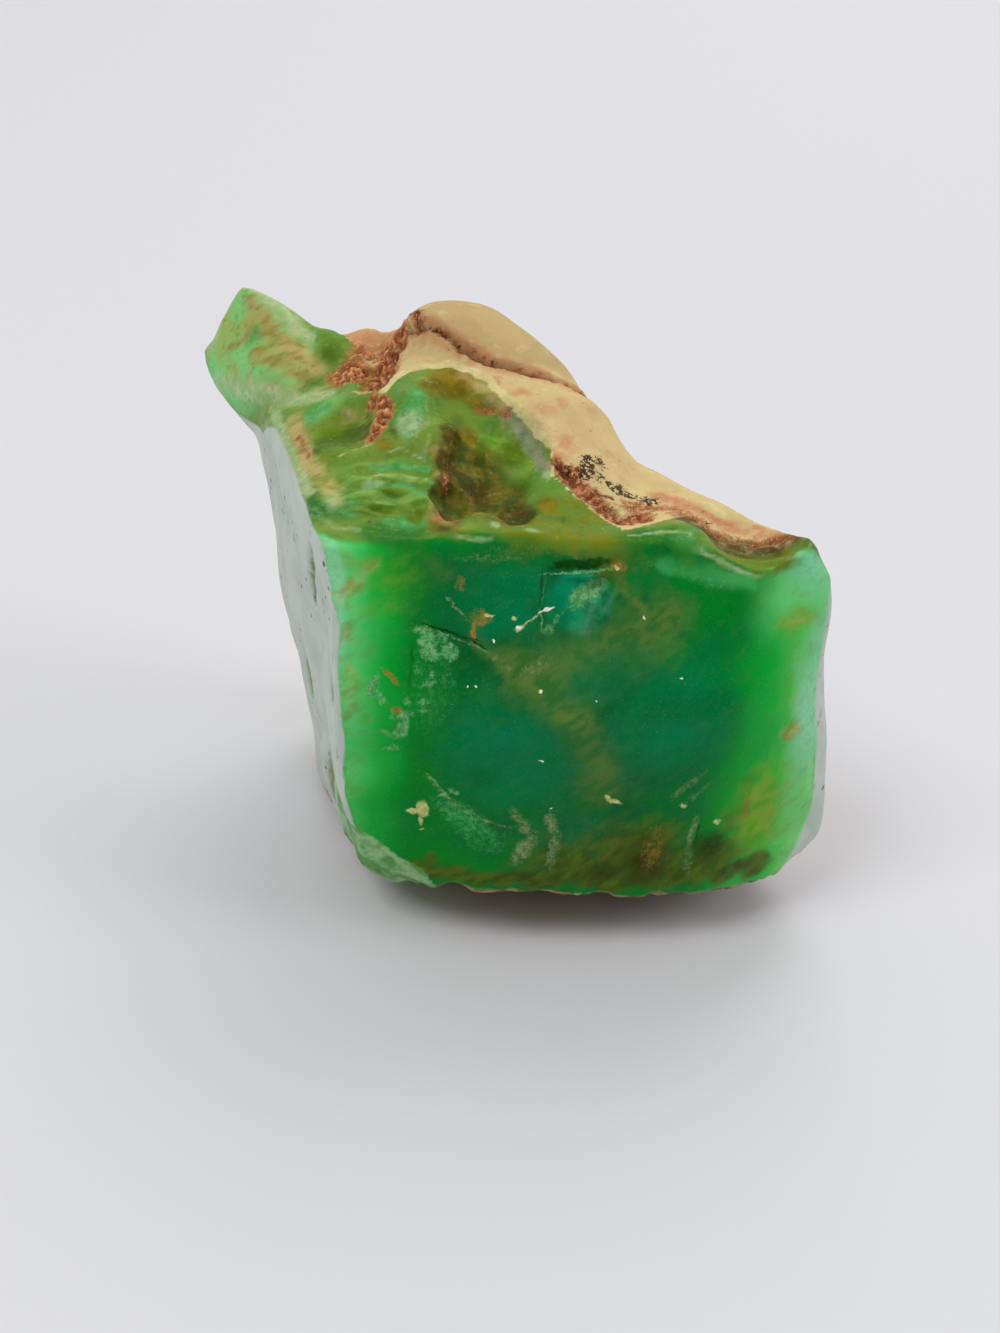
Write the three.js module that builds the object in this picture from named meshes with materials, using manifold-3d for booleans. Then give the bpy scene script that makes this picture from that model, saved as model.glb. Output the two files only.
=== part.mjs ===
// A rough chunk of chrysoprase, broken from its nodule: green chalcedony fractured on the front,
// the left and the crest, with the lumpy cortex still on the top, the back and the underside.
// Millimetres, +Z up, front towards -Y. The points are measured from the front left foot of the
// stone; the finished solid is then centred over its own footprint.
import * as THREE from "three";
import { ConvexGeometry } from "three/addons/geometries/ConvexGeometry.js";
import { ImprovedNoise } from "three/addons/math/ImprovedNoise.js";
import { TessellateModifier } from "three/addons/modifiers/TessellateModifier.js";
import { mergeVertices } from "three/addons/utils/BufferGeometryUtils.js";
import Module from "manifold-3d";

// ---- driving sizes, mm ----
const FOOT = 5.7; // the front edge overhangs the ground by this much
const BROW = 36.3; // top edge of the front face
const HORN_TIP = 43.8; // height of the horn at the back left
const DOME = 8; // radius of the cortex dome
const SOLE = 0.8; // how far the underside bulges below the level where it is worn flat
const NODULES = 8; // knobs of cortex on the back
const MATRIX_KNOBS = 15; // knobs of brown matrix on the underside
const GOLDEN = 0.618; // spreads repeated knobs without lining them up

// ---- the broken surface, mm ----
const RIPPLES = [
  { length: 12, height: 0.9 },
  { length: 5, height: 0.36 },
  { length: 2.3, height: 0.12 },
];
const RIPPLE_START = [11.3, 23.7, 37.1]; // where in the noise each axis of the ripples is read
const SETTLE = 3; // the ripples fade out over this height above the worn flat
const KNAP = 0.4; // how far the corners of a rough lump stray, as a share of its radius
const KNAP_PITCH = 1.9; // strays per radius

// ---- the mesh, mm ----
const LONGEST = 2.7; // triangle edges of the finished surface
const SHORTEST = 0.75;
const SPLITS = 12; // rounds of halving that bring the longest edge down to LONGEST
const TIDY_ROUNDS = 6;
const LEAST_AREA = 0.01; // of a triangle beside an edge that is drawn in, square mm
const LEAST_COSINE = 0.3; // of the turn of such a triangle
const WELD = 1e-4;
const GROUND = { width: 120, height: 8 }; // block that wears the underside flat

const wasm = await Module();
wasm.setup();
const noise = new ImprovedNoise();

// ---- solids, joined and cut ----
function merged(geometry) {
  const bare = geometry.index ? geometry.toNonIndexed() : geometry.clone();
  bare.deleteAttribute("normal");
  bare.deleteAttribute("uv");
  return mergeVertices(bare, WELD);
}

function solid(geometry) {
  const bare = merged(geometry);
  const vertProperties = new Float32Array(bare.attributes.position.array);
  const triVerts = new Uint32Array(bare.index.array);
  return new wasm.Manifold(new wasm.Mesh({ numProp: 3, vertProperties, triVerts }));
}

function geometryOf(made) {
  const mesh = made.getMesh();
  const geometry = new THREE.BufferGeometry();
  const positions = new Float32Array(mesh.vertProperties);
  geometry.setAttribute("position", new THREE.BufferAttribute(positions, 3));
  geometry.setIndex(new THREE.BufferAttribute(new Uint32Array(mesh.triVerts), 1));
  return geometry;
}

function united(pieces) {
  return pieces.reduce((whole, piece) => whole.add(piece));
}

function cornersOf(geometry) {
  const position = geometry.attributes.position;
  const corner = (_, i) => new THREE.Vector3().fromBufferAttribute(position, i);
  return Array.from({ length: position.count }, corner);
}

function hull(points) {
  return solid(new ConvexGeometry(points.map((point) => new THREE.Vector3(...point))));
}

function placed(geometry, centre, radii, turn) {
  geometry.scale(...radii);
  geometry.applyMatrix4(new THREE.Matrix4().makeRotationFromEuler(new THREE.Euler(...turn)));
  geometry.translate(...centre);
  return geometry;
}

function ellipsoid(centre, radii, turn) {
  return placed(new THREE.IcosahedronGeometry(1, 3), centre, radii, turn);
}

// A smooth ellipsoid, for cortex and for the shell-like scars of chalcedony.
function shell(centre, radii, turn = [0, 0, 0]) {
  return solid(ellipsoid(centre, radii, turn));
}

// Several ellipsoids drawn over with one smooth skin.
function draped(ellipsoids) {
  const corners = ellipsoids.flatMap(([centre, radii, turn]) => cornersOf(ellipsoid(centre, radii, turn)));
  return solid(new ConvexGeometry(corners));
}

// A rough angular lump; the seed picks its corners.
function rough(centre, radii, turn, seed) {
  const geometry = merged(new THREE.IcosahedronGeometry(1, 2));
  cornersOf(geometry).forEach((corner, i) => {
    const { x, y, z } = corner.clone().multiplyScalar(KNAP_PITCH);
    corner.multiplyScalar(1 + KNAP * noise.noise(x + seed, y - seed, z));
    geometry.attributes.position.setXYZ(i, corner.x, corner.y, corner.z);
  });
  return solid(placed(geometry, centre, radii, turn));
}

// ---- the mass of the stone ----
function body() {
  const foot = [
    [0, 0, FOOT], [6, -1.3, 6], [12, -1.8, 6.3], [18.5, -1.4, 6.3],
    [25, -0.3, 6.2], [31.5, 2.6, 5.8], [37.4, 6.5, 5.5],
  ];
  const face = [
    [-1.6, -2.2, 14.8], [-2.4, -3.4, 25], [-4, -1.2, 32], [9, -4, 20], [15, -3.6, 24], [16, -3, 14],
    [27, -0.4, 24], [28, 0.2, 14], [38.9, 6.2, 14.2], [36.8, 5, 24.3], [37.5, 7, 31],
  ];
  const brow = [
    [-4.9, 1, BROW], [3.8, 3, BROW], [15.5, 4.6, 36.4], [24.2, 7.8, 38.1],
    [34.5, 8, 37.6], [35.8, 9, 37.7], [37.3, 8.4, 35],
  ];
  const leftRim = [[-8.5, 12, 36.7], [-14.6, 30, 36.4], [-15.4, 33, 31.3]];
  const shelf = [[21, 20, 37.6], [25.4, 15, 37.4], [30, 13, 37.5], [34, 11, 37.6]];
  const right = [[41.7, 11.1, 7.7], [40.4, 11.3, 14], [39.2, 11.2, 22], [38.4, 11.4, 30]];
  const back = [
    [-12, 40, 30], [3, 40, 30], [14, 35, 30], [24, 27, 28], [36, 17, 29],
    [-10, 38, 14], [4, 40, 12], [18, 35, 10], [30, 26, 10], [40, 16, 10],
  ];
  const heel = [
    [-6.2, 21.6, 0.6], [-3, 13, 2.4], [8, 9.6, 2.2], [24, 10.2, 2.2], [35, 13, 2.4],
    [36, 18, 2.4], [26, 28, 2.6], [12, 34, 2.6], [-3, 32, 1.6],
  ];
  const sole = [
    [5, 18, -SOLE], [11, 16, -SOLE], [22, 16.5, -SOLE], [23, 18, -SOLE], [13, 24, -SOLE], [5, 23, -SOLE],
  ];
  return hull([...foot, ...face, ...brow, ...leftRim, ...shelf, ...right, ...back, ...heel, ...sole]);
}

// The raised left half of the top, from the brow back to the dome.
function crest() {
  const brow = [[-4.9, 1, BROW], [3.8, 3, BROW], [15.5, 5, 36.4], [20, 8.3, 36.9]];
  const leftRim = [[-8.5, 12, 36.7], [-14.6, 30, 36.4]];
  const shoulder = [[-5, 14, 40], [-3.6, 20, 41.2], [-7, 26, 39.6]];
  const ridge = [[2.2, 15, 41.6], [1.4, 22, 43.6], [8.3, 21, 43], [12.2, 16, 41.4], [16.5, 10.4, 38.3]];
  const slab = [[-0.3, 28, 44.4], [7.5, 26, 44.3], [14.4, 25, 43.1], [18, 23.5, 41], [21, 20, 37.8]];
  const saddle = [[-8, 37, 40.6], [-4.9, 36, 41.6]];
  const root = [[3, 38, 34], [14, 34, 34], [20, 26, 34], [-14, 32, 30], [15, 10, 30]];
  return hull([...brow, ...leftRim, ...shoulder, ...ridge, ...slab, ...saddle, ...root]);
}

function horn() {
  const tip = [[-18.9, 40, HORN_TIP], [-15.4, 38, 43.6], [-17.5, 42, 42.5]];
  const point = [[-19.5, 42, 38], [-21.9, 40, 37.3]];
  const underside = [[-20.4, 38, 34.6], [-18.6, 36, 33.4], [-15.4, 33, 31.3]];
  const root = [[-8.7, 36, 41.7], [-14.4, 30, 37.7], [-8.1, 28, 39.5], [-9, 40, 31], [-4, 38, 30]];
  return hull([...tip, ...point, ...underside, ...root]);
}

// A point of green standing up from the brow, left of the dip.
function tooth() {
  const front = [[19.6, 6.9, 36.2], [24.1, 8.4, 38.8], [26.4, 7.2, 35.4], [23.4, 3.2, 31]];
  const root = [[24.4, 14, 38.2], [21, 13, 37.2], [24, 10, 32]];
  return hull([...front, ...root]);
}

// A small glassy swelling beside the hollow.
function bump() {
  return shell([0.4, 17.5, 41.4], [1.7, 3.6, 1.9], [0.3, 0, 0]);
}

// ---- the cortex ----
function dome() {
  return draped([
    [[3.2, 31, 39], [DOME, 7.4, 8.8], [0, 0.3, -0.3]],
    [[8.6, 29, 38], [DOME, 6.4, 7.2], [0, 0.75, -0.45]],
    [[6, 31, 26], [1.5 * DOME, 9, 12], [0, 0, -0.4]],
  ]);
}

// Broad knobs of cortex down the back, from the left shoulder to the right heel.
function nodules() {
  const knobs = [];
  for (let i = 0; i < NODULES; i += 1) {
    const along = i / (NODULES - 1);
    const high = (i * GOLDEN) % 1;
    const centre = [3.5 + 26 * along, 29.5 - 13 * along * along, 9 + 16 * high];
    const radius = 10.5 - 2.4 * along - 1.5 * high;
    knobs.push(shell(centre, [radius * 1.1, radius, radius * 0.9], [0, 0.7 * i, -0.6]));
  }
  return united(knobs);
}

// Knobs of brown matrix spread over the underside.
function matrix() {
  const knobs = [];
  for (let i = 0; i < MATRIX_KNOBS; i += 1) {
    const along = (i + 0.5) / MATRIX_KNOBS;
    const across = (i * GOLDEN) % 1;
    const centre = [1 + 31 * along, 12.5 + (18 - 11 * along) * across, 3];
    knobs.push(rough(centre, [4.4, 4, 3.1 + 0.4 * across], [0, 0, i], 7.7 * i));
  }
  return united(knobs);
}

// ---- fracture scars ----
function hollow() {
  return united([
    rough([7.6, 13, 42.6], [5, 8.4, 5.2], [0.42, 0, -0.1], 1.2),
    rough([5.2, 18.5, 44.2], [3.2, 4.4, 3.6], [0.4, 0, 0.2], 4.3),
    rough([10.6, 15.5, 43.4], [2.8, 4.2, 3.8], [0.42, 0, 0.35], 8.1),
    rough([4.8, 8.2, 39.4], [2.4, 3.7, 3.6], [0.3, 0, 0], 2.7),
    rough([9.4, 8.4, 39.2], [3.2, 3.6, 2.8], [0.3, 0, 0], 6.6),
  ]);
}

// The olive scoop at the left and the stepped ledge in front of it.
function shoulderScars() {
  const scoop = rough([-6.8, 17.8, 42.2], [4.4, 5.6, 4.2], [0.1, -0.35, 0.5], 5.2);
  const ledge = [[-7.4, 12.6, 38.4], [1.8, 13, 39.8], [-6.4, 13.4, 40.6], [2, 13.8, 41.8]];
  const lip = [[-4.6, 1.2, BROW], [3.6, 3.2, BROW]];
  const above = [[-5, 0, 43], [3, 0, 43]];
  return scoop.add(hull([...ledge, ...lip, ...above]));
}

// The layered dip in the brow at the right.
function dip() {
  const bowl = shell([30.4, 9.6, 40], [5.4, 8.4, 4.4], [0.1, 0.06, 0.1]);
  const notch = rough([27.2, 10.4, 40], [2.4, 4, 2.6], [0, 0, 0], 3.3);
  return bowl.add(notch);
}

// The crumbled gap between the horn and the dome.
function crumbledPocket() {
  const near = rough([-4.4, 26, 43.8], [2.4, 5, 3.8], [0, 0, 0.3], 2.2);
  const far = rough([-4.8, 33, 44.6], [2.4, 5, 4.2], [0, 0, 0.2], 9.1);
  return near.add(far);
}

// Shallow shells struck from the front face: where each is deepest, and the radii of its shell.
function faceScars() {
  const flakes = [
    { deepest: [-3.4, -2.9, 23], radii: [9, 14, 34], turn: [0, 0, -0.35] },
    { deepest: [7.5, -3.1, 25], radii: [26, 12, 22], turn: [-0.12, 0, 0] },
    { deepest: [10.5, -2.4, 12], radii: [30, 12, 13], turn: [0.1, 0.2, 0] },
    { deepest: [26.5, 0.1, 25], radii: [22, 12, 26], turn: [-0.15, 0, 0.2] },
    { deepest: [32.4, 3, 12], radii: [16, 12, 16], turn: [0, 0, 0.35] },
  ];
  return united(flakes.map(({ deepest, radii, turn }) => {
    const [x, y, z] = deepest;
    const centre = [x + Math.sin(turn[2]) * radii[1], y - Math.cos(turn[2]) * radii[1], z];
    return shell(centre, radii, turn);
  }));
}

// The small stepped facet below the brow.
function stepFacet() {
  const lip = [[13, 2.2, 34.9], [19.2, 3.4, 35.2]];
  const floor = [[13.8, 3.9, 34.1], [18.9, 4.8, 34.3], [13, 0.4, 29.6], [18, 1.8, 30.6]];
  const outside = [[13, -8, 34.8], [19.6, -8, 35], [12.6, -8, 29], [18, -8, 30]];
  return hull([...lip, ...floor, ...outside]);
}

// The pale chip off the front left foot.
function footChip() {
  const facet = [[-4, 1.4, 3], [-3, 1.6, 7.6], [10, 0.2, 4]];
  const outside = [[-4, -4, 3], [-4, -4, 9.6], [12, -5, 4], [12, -5, 6.6]];
  return hull([...facet, ...outside]);
}

// The shallow bay in the right edge of the front face.
function rightBay() {
  return shell([42.4, 1.6, 23], [7, 6, 10.5]);
}

// Everything below the level that the stone rests on.
function ground() {
  const block = new THREE.BoxGeometry(GROUND.width, GROUND.width, GROUND.height);
  block.translate(0, 0, -GROUND.height / 2);
  return solid(block);
}

// ---- an even mesh ----
// Which triangles meet at each corner.
function fansOf(triangles, count) {
  const fans = Array.from({ length: count }, () => new Set());
  triangles.forEach((triangle, t) => triangle.forEach((corner) => fans[corner].add(t)));
  return fans;
}

function ringOf(triangles, fan) {
  return new Set([...fan].flatMap((t) => triangles[t]));
}

function facing(points, [a, b, c]) {
  const side = points[b].clone().sub(points[a]);
  return side.cross(points[c].clone().sub(points[a]));
}

// Whether a corner may be drawn onto its neighbour without a hole, a fold or a sliver.
function mayDraw(points, triangles, fans, from, to) {
  const ring = ringOf(triangles, fans[to]);
  const shared = [...ringOf(triangles, fans[from])].filter((corner) => ring.has(corner));
  const bothEndsAndSides = 4;
  if (shared.length !== bothEndsAndSides) return false;
  return [...fans[from]].every((t) => {
    const triangle = triangles[t];
    if (triangle.includes(to)) return true;
    const before = facing(points, triangle);
    const after = facing(points, triangle.map((corner) => (corner === from ? to : corner)));
    const turned = before.dot(after) < LEAST_COSINE * before.length() * after.length();
    return after.length() > 2 * LEAST_AREA && !turned;
  });
}

function draw(triangles, fans, from, to) {
  for (const t of [...fans[from]]) {
    fans[from].delete(t);
    if (triangles[t].includes(to)) {
      triangles[t].forEach((corner) => fans[corner].delete(t));
      triangles[t] = null;
    } else {
      triangles[t] = triangles[t].map((corner) => (corner === from ? to : corner));
      fans[to].add(t);
    }
  }
}

// Draws in edges shorter than SHORTEST, the shortest first, so that cuts leave no slivers. The
// corners of the worn flat stay on it.
function tidied(geometry) {
  const bare = merged(geometry);
  const points = cornersOf(bare);
  const index = Array.from(bare.index.array);
  const triangles = Array.from({ length: index.length / 3 }, (_, t) => index.slice(3 * t, 3 * t + 3));
  const fans = fansOf(triangles, points.length);
  for (let round = 1; round <= TIDY_ROUNDS; round += 1) {
    const limit = (SHORTEST * round) / TIDY_ROUNDS;
    for (let t = 0; t < triangles.length; t += 1) {
      for (let side = 0; triangles[t] && side < 3; side += 1) {
        const from = triangles[t][side];
        const to = triangles[t][(side + 1) % 3];
        const short = points[from].distanceTo(points[to]) < limit;
        const leavesFlat = points[from].z < WELD && points[to].z > WELD;
        if (!short || leavesFlat || !mayDraw(points, triangles, fans, from, to)) continue;
        draw(triangles, fans, from, to);
      }
    }
  }
  const corners = triangles.filter(Boolean).flat().map((corner) => points[corner]);
  return new THREE.BufferGeometry().setFromPoints(corners);
}

// An even mesh of the solid, with the ripples of the broken surface on it.
function rippled(made) {
  const even = new TessellateModifier(LONGEST, SPLITS).modify(tidied(geometryOf(made)));
  const shape = merged(tidied(even));
  const [startX, startY, startZ] = RIPPLE_START;
  cornersOf(shape).forEach((corner, i) => {
    const stray = new THREE.Vector3();
    for (const { length, height } of RIPPLES) {
      const { x, y, z } = corner.clone().divideScalar(length);
      stray.x += height * noise.noise(x + startX, y, z);
      stray.y += height * noise.noise(x, y + startY, z);
      stray.z += height * noise.noise(x, y, z + startZ);
    }
    corner.addScaledVector(stray, Math.min(1, corner.z / SETTLE));
    shape.attributes.position.setXYZ(i, corner.x, corner.y, corner.z);
  });
  return shape;
}

// Puts the origin under the middle of the stone, at the level it rests on.
function centred(geometry) {
  geometry.computeBoundingBox();
  const middle = geometry.boundingBox.getCenter(new THREE.Vector3());
  geometry.translate(-middle.x, -middle.y, -geometry.boundingBox.min.z);
  return geometry;
}

function stone() {
  const grown = united([body(), crest(), horn(), tooth(), dome(), nodules(), matrix()]);
  const top = united([hollow(), shoulderScars(), dip(), crumbledPocket()]);
  const front = united([faceScars(), stepFacet(), footChip(), rightBay()]);
  const broken = grown.subtract(top).subtract(front).add(bump());
  return centred(rippled(broken.subtract(ground())));
}

const chrysoprase = new THREE.Mesh(
  stone(),
  new THREE.MeshStandardMaterial({ color: 0x2c9a50, roughness: 0.35, metalness: 0 }),
);
chrysoprase.name = "chrysoprase";

const part = new THREE.Group();
part.add(chrysoprase);
export default part;
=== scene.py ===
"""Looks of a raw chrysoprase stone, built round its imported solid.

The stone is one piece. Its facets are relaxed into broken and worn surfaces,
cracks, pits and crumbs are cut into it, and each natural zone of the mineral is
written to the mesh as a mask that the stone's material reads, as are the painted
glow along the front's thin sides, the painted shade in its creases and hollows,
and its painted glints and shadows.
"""

from __future__ import annotations

import logging
import math
from collections.abc import Sequence
from dataclasses import dataclass, field
from enum import Enum

import bpy
import numpy as np
from mathutils import Matrix, Vector

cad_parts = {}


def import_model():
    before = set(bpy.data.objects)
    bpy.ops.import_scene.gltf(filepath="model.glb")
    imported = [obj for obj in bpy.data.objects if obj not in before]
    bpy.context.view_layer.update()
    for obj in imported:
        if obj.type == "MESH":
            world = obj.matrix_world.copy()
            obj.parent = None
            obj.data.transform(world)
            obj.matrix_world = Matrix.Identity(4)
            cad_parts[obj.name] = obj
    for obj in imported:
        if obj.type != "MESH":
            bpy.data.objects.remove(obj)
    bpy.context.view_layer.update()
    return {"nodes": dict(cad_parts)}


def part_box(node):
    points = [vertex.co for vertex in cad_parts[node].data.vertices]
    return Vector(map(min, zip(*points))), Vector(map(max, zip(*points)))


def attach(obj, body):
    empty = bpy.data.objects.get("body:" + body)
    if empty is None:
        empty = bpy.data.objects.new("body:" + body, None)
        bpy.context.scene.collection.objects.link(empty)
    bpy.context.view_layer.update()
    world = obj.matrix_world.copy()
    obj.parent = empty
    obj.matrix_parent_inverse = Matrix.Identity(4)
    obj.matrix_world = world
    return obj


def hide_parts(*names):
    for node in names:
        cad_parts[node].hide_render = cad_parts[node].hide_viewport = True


LOG = logging.getLogger("stone")
MM = 0.001
NODE = "chrysoprase"
COARSE_SEED = 11
FINE_SEED = 29

Place = tuple[float, float, float]
Spot = tuple[float, float]
Colour = tuple[float, float, float]
Socket = bpy.types.NodeSocket
Sockets = bpy.types.bpy_prop_collection


class Ground(Enum):
    """The part of the stone that a marking keeps to."""

    FACE = "face"
    TOP = "top"
    SKIN = "skin"
    RIND = "rind"
    ANY = "any"


class Texture(Enum):
    """The grain that cuts a coat's edge and mottles it."""

    EVEN = "Even"
    SMALL = "Small"
    WISPY = "Wisps"
    BROAD = "Broad"


def eased(value: np.ndarray, low: float, high: float) -> np.ndarray:
    """A smooth step.

    Args:
        value: What is compared.
        low: Where the step starts, at 0.
        high: Where the step ends, at 1. It may lie below low.

    Returns:
        Values from 0 to 1.
    """
    t = np.clip((value - low) / (high - low), 0.0, 1.0)
    return t * t * (3.0 - 2.0 * t)


def unit(vectors: np.ndarray) -> np.ndarray:
    """The same directions at length 1."""
    length = np.linalg.norm(vectors, axis=-1, keepdims=True)
    return vectors / np.maximum(length, 1e-12)


def linear(*levels: int) -> Colour:
    """The shader's own numbers for red, green and blue levels on a screen, 0 to 255."""
    shares = (level / 255.0 for level in levels)
    return tuple(s / 12.92 if s <= 0.04045 else ((s + 0.055) / 1.055) ** 2.4 for s in shares)


class Grain:
    """Seeded noise in space, for edges, lumps and pits."""

    SIDE = 256
    GAIN = 0.5
    LAYER_SHIFT = 17.3
    AXIS_SHIFTS = (0.0, 41.7, 83.9)

    def __init__(self, seed: int) -> None:
        """Draws the lattice.

        Args:
            seed: The number that fixes the pattern.
        """
        draw = np.random.default_rng(seed)
        self.order = draw.permutation(self.SIDE)
        self.slopes = unit(draw.normal(size=(self.SIDE, 3)))
        self.jitter = draw.random(size=(self.SIDE, 3))

    def _pick(self, cell: np.ndarray) -> np.ndarray:
        """The lattice entry that belongs to each whole-number cell.

        Args:
            cell: One row of three whole numbers for each cell.

        Returns:
            Entries from 0 to 255.
        """
        side, order = self.SIDE, self.order
        first = order[cell[:, 0] % side]
        second = order[(first + cell[:, 1]) % side]
        return order[(second + cell[:, 2]) % side]

    def waves(self, points: np.ndarray, size: float) -> np.ndarray:
        """One layer of soft noise.

        Args:
            points: Places in millimetres.
            size: The width of a lump in millimetres.

        Returns:
            Values from about -1 to 1.
        """
        scaled = points / size
        cell = np.floor(scaled).astype(np.int64)
        inside = scaled - cell
        blend = inside**3 * (inside * (inside * 6.0 - 15.0) + 10.0)
        total = np.zeros(len(points))
        for corner in np.ndindex(2, 2, 2):
            step = np.array(corner)
            slope = self.slopes[self._pick(cell + step)]
            share = np.where(step == 1, blend, 1.0 - blend).prod(axis=1)
            total += share * (slope * (inside - step)).sum(axis=1)
        return total * 1.7

    def fractal(self, points: np.ndarray, size: float, layers: int = 3) -> np.ndarray:
        """Layers of noise, each half as wide and half as strong as the last.

        Args:
            points: Places in millimetres.
            size: The width of the widest lumps.
            layers: How many layers there are.

        Returns:
            Values from about -1 to 1.
        """
        shares = [self.GAIN**layer for layer in range(layers)]
        total = np.zeros(len(points))
        for layer, share in enumerate(shares):
            total += share * self.waves(points + self.LAYER_SHIFT * layer, size / 2**layer)
        return total / sum(shares)

    def drift(self, points: np.ndarray, size: float, reach: float) -> np.ndarray:
        """Places pushed about, so that what is drawn on them wanders.

        Args:
            points: Places in millimetres.
            size: The width of a bend.
            reach: How far a place moves at most.

        Returns:
            The moved places.
        """
        moved = [self.fractal(points + shift, size, 2) for shift in self.AXIS_SHIFTS]
        return points + reach * np.stack(moved, axis=1)

    def crumbs(self, points: np.ndarray, size: float) -> tuple[np.ndarray, np.ndarray]:
        """Rounded crumbs packed together.

        Args:
            points: Places in millimetres.
            size: The width of a crumb.

        Returns:
            The distance to the nearest crumb's middle and to the next one's, as
            shares of the size.
        """
        scaled = points / size
        cell = np.floor(scaled).astype(np.int64)
        near = np.full(len(points), 9.0)
        second = near.copy()
        for corner in np.ndindex(3, 3, 3):
            other = cell + np.array(corner) - 1
            middle = other + self.jitter[self._pick(other)]
            gap = np.linalg.norm(scaled - middle, axis=1)
            second = np.minimum(second, np.maximum(near, gap))
            near = np.minimum(near, gap)
        return near, second


@dataclass(frozen=True)
class Dab:
    """A soft egg of colour or relief in the stone. A size of 0 is endless."""

    at: Place
    size: Place
    soft: float = 0.6
    weight: float = 1.0
    lean: float = 0.0

    def cover(self, points: np.ndarray) -> np.ndarray:
        """How much of each place it covers.

        Args:
            points: Places in millimetres.

        Returns:
            Values from 0 to its weight.
        """
        away = points - np.array(self.at)
        turn = math.radians(self.lean)
        across = away[:, 0] * math.cos(turn) + away[:, 2] * math.sin(turn)
        up = away[:, 2] * math.cos(turn) - away[:, 0] * math.sin(turn)
        parts = zip((across, away[:, 1], up), self.size, strict=True)
        square = sum((part / size) ** 2 for part, size in parts if size)
        return self.weight * eased(np.sqrt(square), 1.0 + self.soft / 2, 1.0 - self.soft)


@dataclass(frozen=True)
class Streak:
    """A line of colour or relief that follows points through the stone.

    One that is flat runs as deep as the stone, and rise is the share of height that counts.
    """

    points: tuple[Place, ...]
    width: float
    soft: float = 0.7
    weight: float = 1.0
    flat: bool = False
    rise: float = 1.0

    def gap(self, places: np.ndarray) -> np.ndarray:
        """How far each place lies from the line.

        Args:
            places: Places in millimetres.

        Returns:
            The distances.
        """
        keep = np.array([1.0, 0.0 if self.flat else 1.0, self.rise])
        best = np.full(len(places), 1e9)
        for start, end in zip(self.points, self.points[1:]):
            first, last = np.array(start) * keep, np.array(end) * keep
            run = last - first
            share = ((places * keep - first) @ run) / max(float(run @ run), 1e-9)
            nearest = first + np.clip(share, 0.0, 1.0)[:, None] * run
            best = np.minimum(best, np.linalg.norm(places * keep - nearest, axis=1))
        return best

    def cover(self, places: np.ndarray) -> np.ndarray:
        """How much of each place it covers, from 0 to its weight."""
        share = self.gap(places) / self.width
        return self.weight * eased(share, 1.0 + self.soft / 2, 1.0 - self.soft)


def on_face(across: float, up: float, wide: float, high: float, *more: float, **named: float) -> Dab:
    """A dab on the broken front, which runs as deep into the stone as the face does."""
    return Dab((across, 0.0, up), (wide, 0.0, high), *more, **named)


def face_line(*spots: Spot, width: float, **more: float) -> Streak:
    """A streak on the broken front, through spots given across and up."""
    points = tuple((across, 0.0, up) for across, up in spots)
    return Streak(points, width, flat=True, **more)


@dataclass(frozen=True)
class Marking:
    """One natural zone of colour, from dabs and streaks that wander a little."""

    name: str
    ground: Ground
    marks: tuple[Dab | Streak, ...]
    wander: float
    bend: float


@dataclass(frozen=True)
class Coat:
    """How a zone is coloured: two colours that mottle, and how ragged its edge is."""

    name: str
    colour: Colour
    second: Colour
    ragged: float
    soft: float
    strength: float = 1.0
    texture: Texture = Texture.EVEN


@dataclass(frozen=True)
class Chip:
    """A small egg on the broken front, in millimetres and degrees."""

    FINEST = 0.3

    across: float
    up: float
    wide: float
    high: float
    lean: float = 0.0
    weight: float = 1.0

    def wires(self, soft: float) -> dict[str, object]:
        """Its shape as the inputs that the chip group takes.

        Args:
            soft: How soft its edge is, as a share of its size.

        Returns:
            The group's inputs by name.
        """
        turn = math.radians(self.lean)
        ways = {
            "Along": (math.cos(turn) / self.wide, math.sin(turn) / self.wide),
            "Over": (-math.sin(turn) / self.high, math.cos(turn) / self.high),
        }
        near, far = (1.0 - soft) ** 2, (1.0 + soft) ** 2
        slope = 1.0 / (near - far)
        numbers: dict[str, object] = {"Slope": slope, "Start": -far * slope}
        for way, (first, second) in ways.items():
            numbers[way] = (first, second, -(self.across * first + self.up * second))
        return numbers

    def dab(self) -> Dab:
        """The same mark for the mesh, never finer than the mesh can hold."""
        wide, high = max(self.wide, self.FINEST), max(self.high, self.FINEST)
        return on_face(self.across, self.up, wide, high, lean=self.lean, weight=self.weight)


@dataclass(frozen=True)
class Flaw:
    """A kind of small flaw: two colours that mottle, and where its chips lie."""

    name: str
    colour: Colour
    second: Colour
    chips: tuple[Chip, ...]
    soft: float


# The share of its height that counts in how far a place lies from a crack.
CRACK_RISE = 0.25

# The line in plan where the rind ends and the broken green begins, left to right.
RIND_LINE = (
    (-34.0, 27.0), (-25.0, 25.0), (-20.5, 18.6), (-17.5, 15.4), (-13.2, 9.0), (-12.6, 2.4), (-11.9, 2.6),
    (-10.5, 3.9), (-8.5, 4.2), (-6.8, 4.8), (-4.8, 4.6), (-3.3, 4.0), (-0.3, 0.8), (1.3, -0.8),
    (3.0, -3.4), (3.5, -6.3), (6.8, -9.0), (9.9, -11.9), (12.4, -10.5), (14.6, -9.4), (16.0, -10.4),
    (18.4, -10.8), (21.1, -10.8), (23.6, -10.2), (25.2, -9.4), (32.0, -8.0),
)

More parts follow.
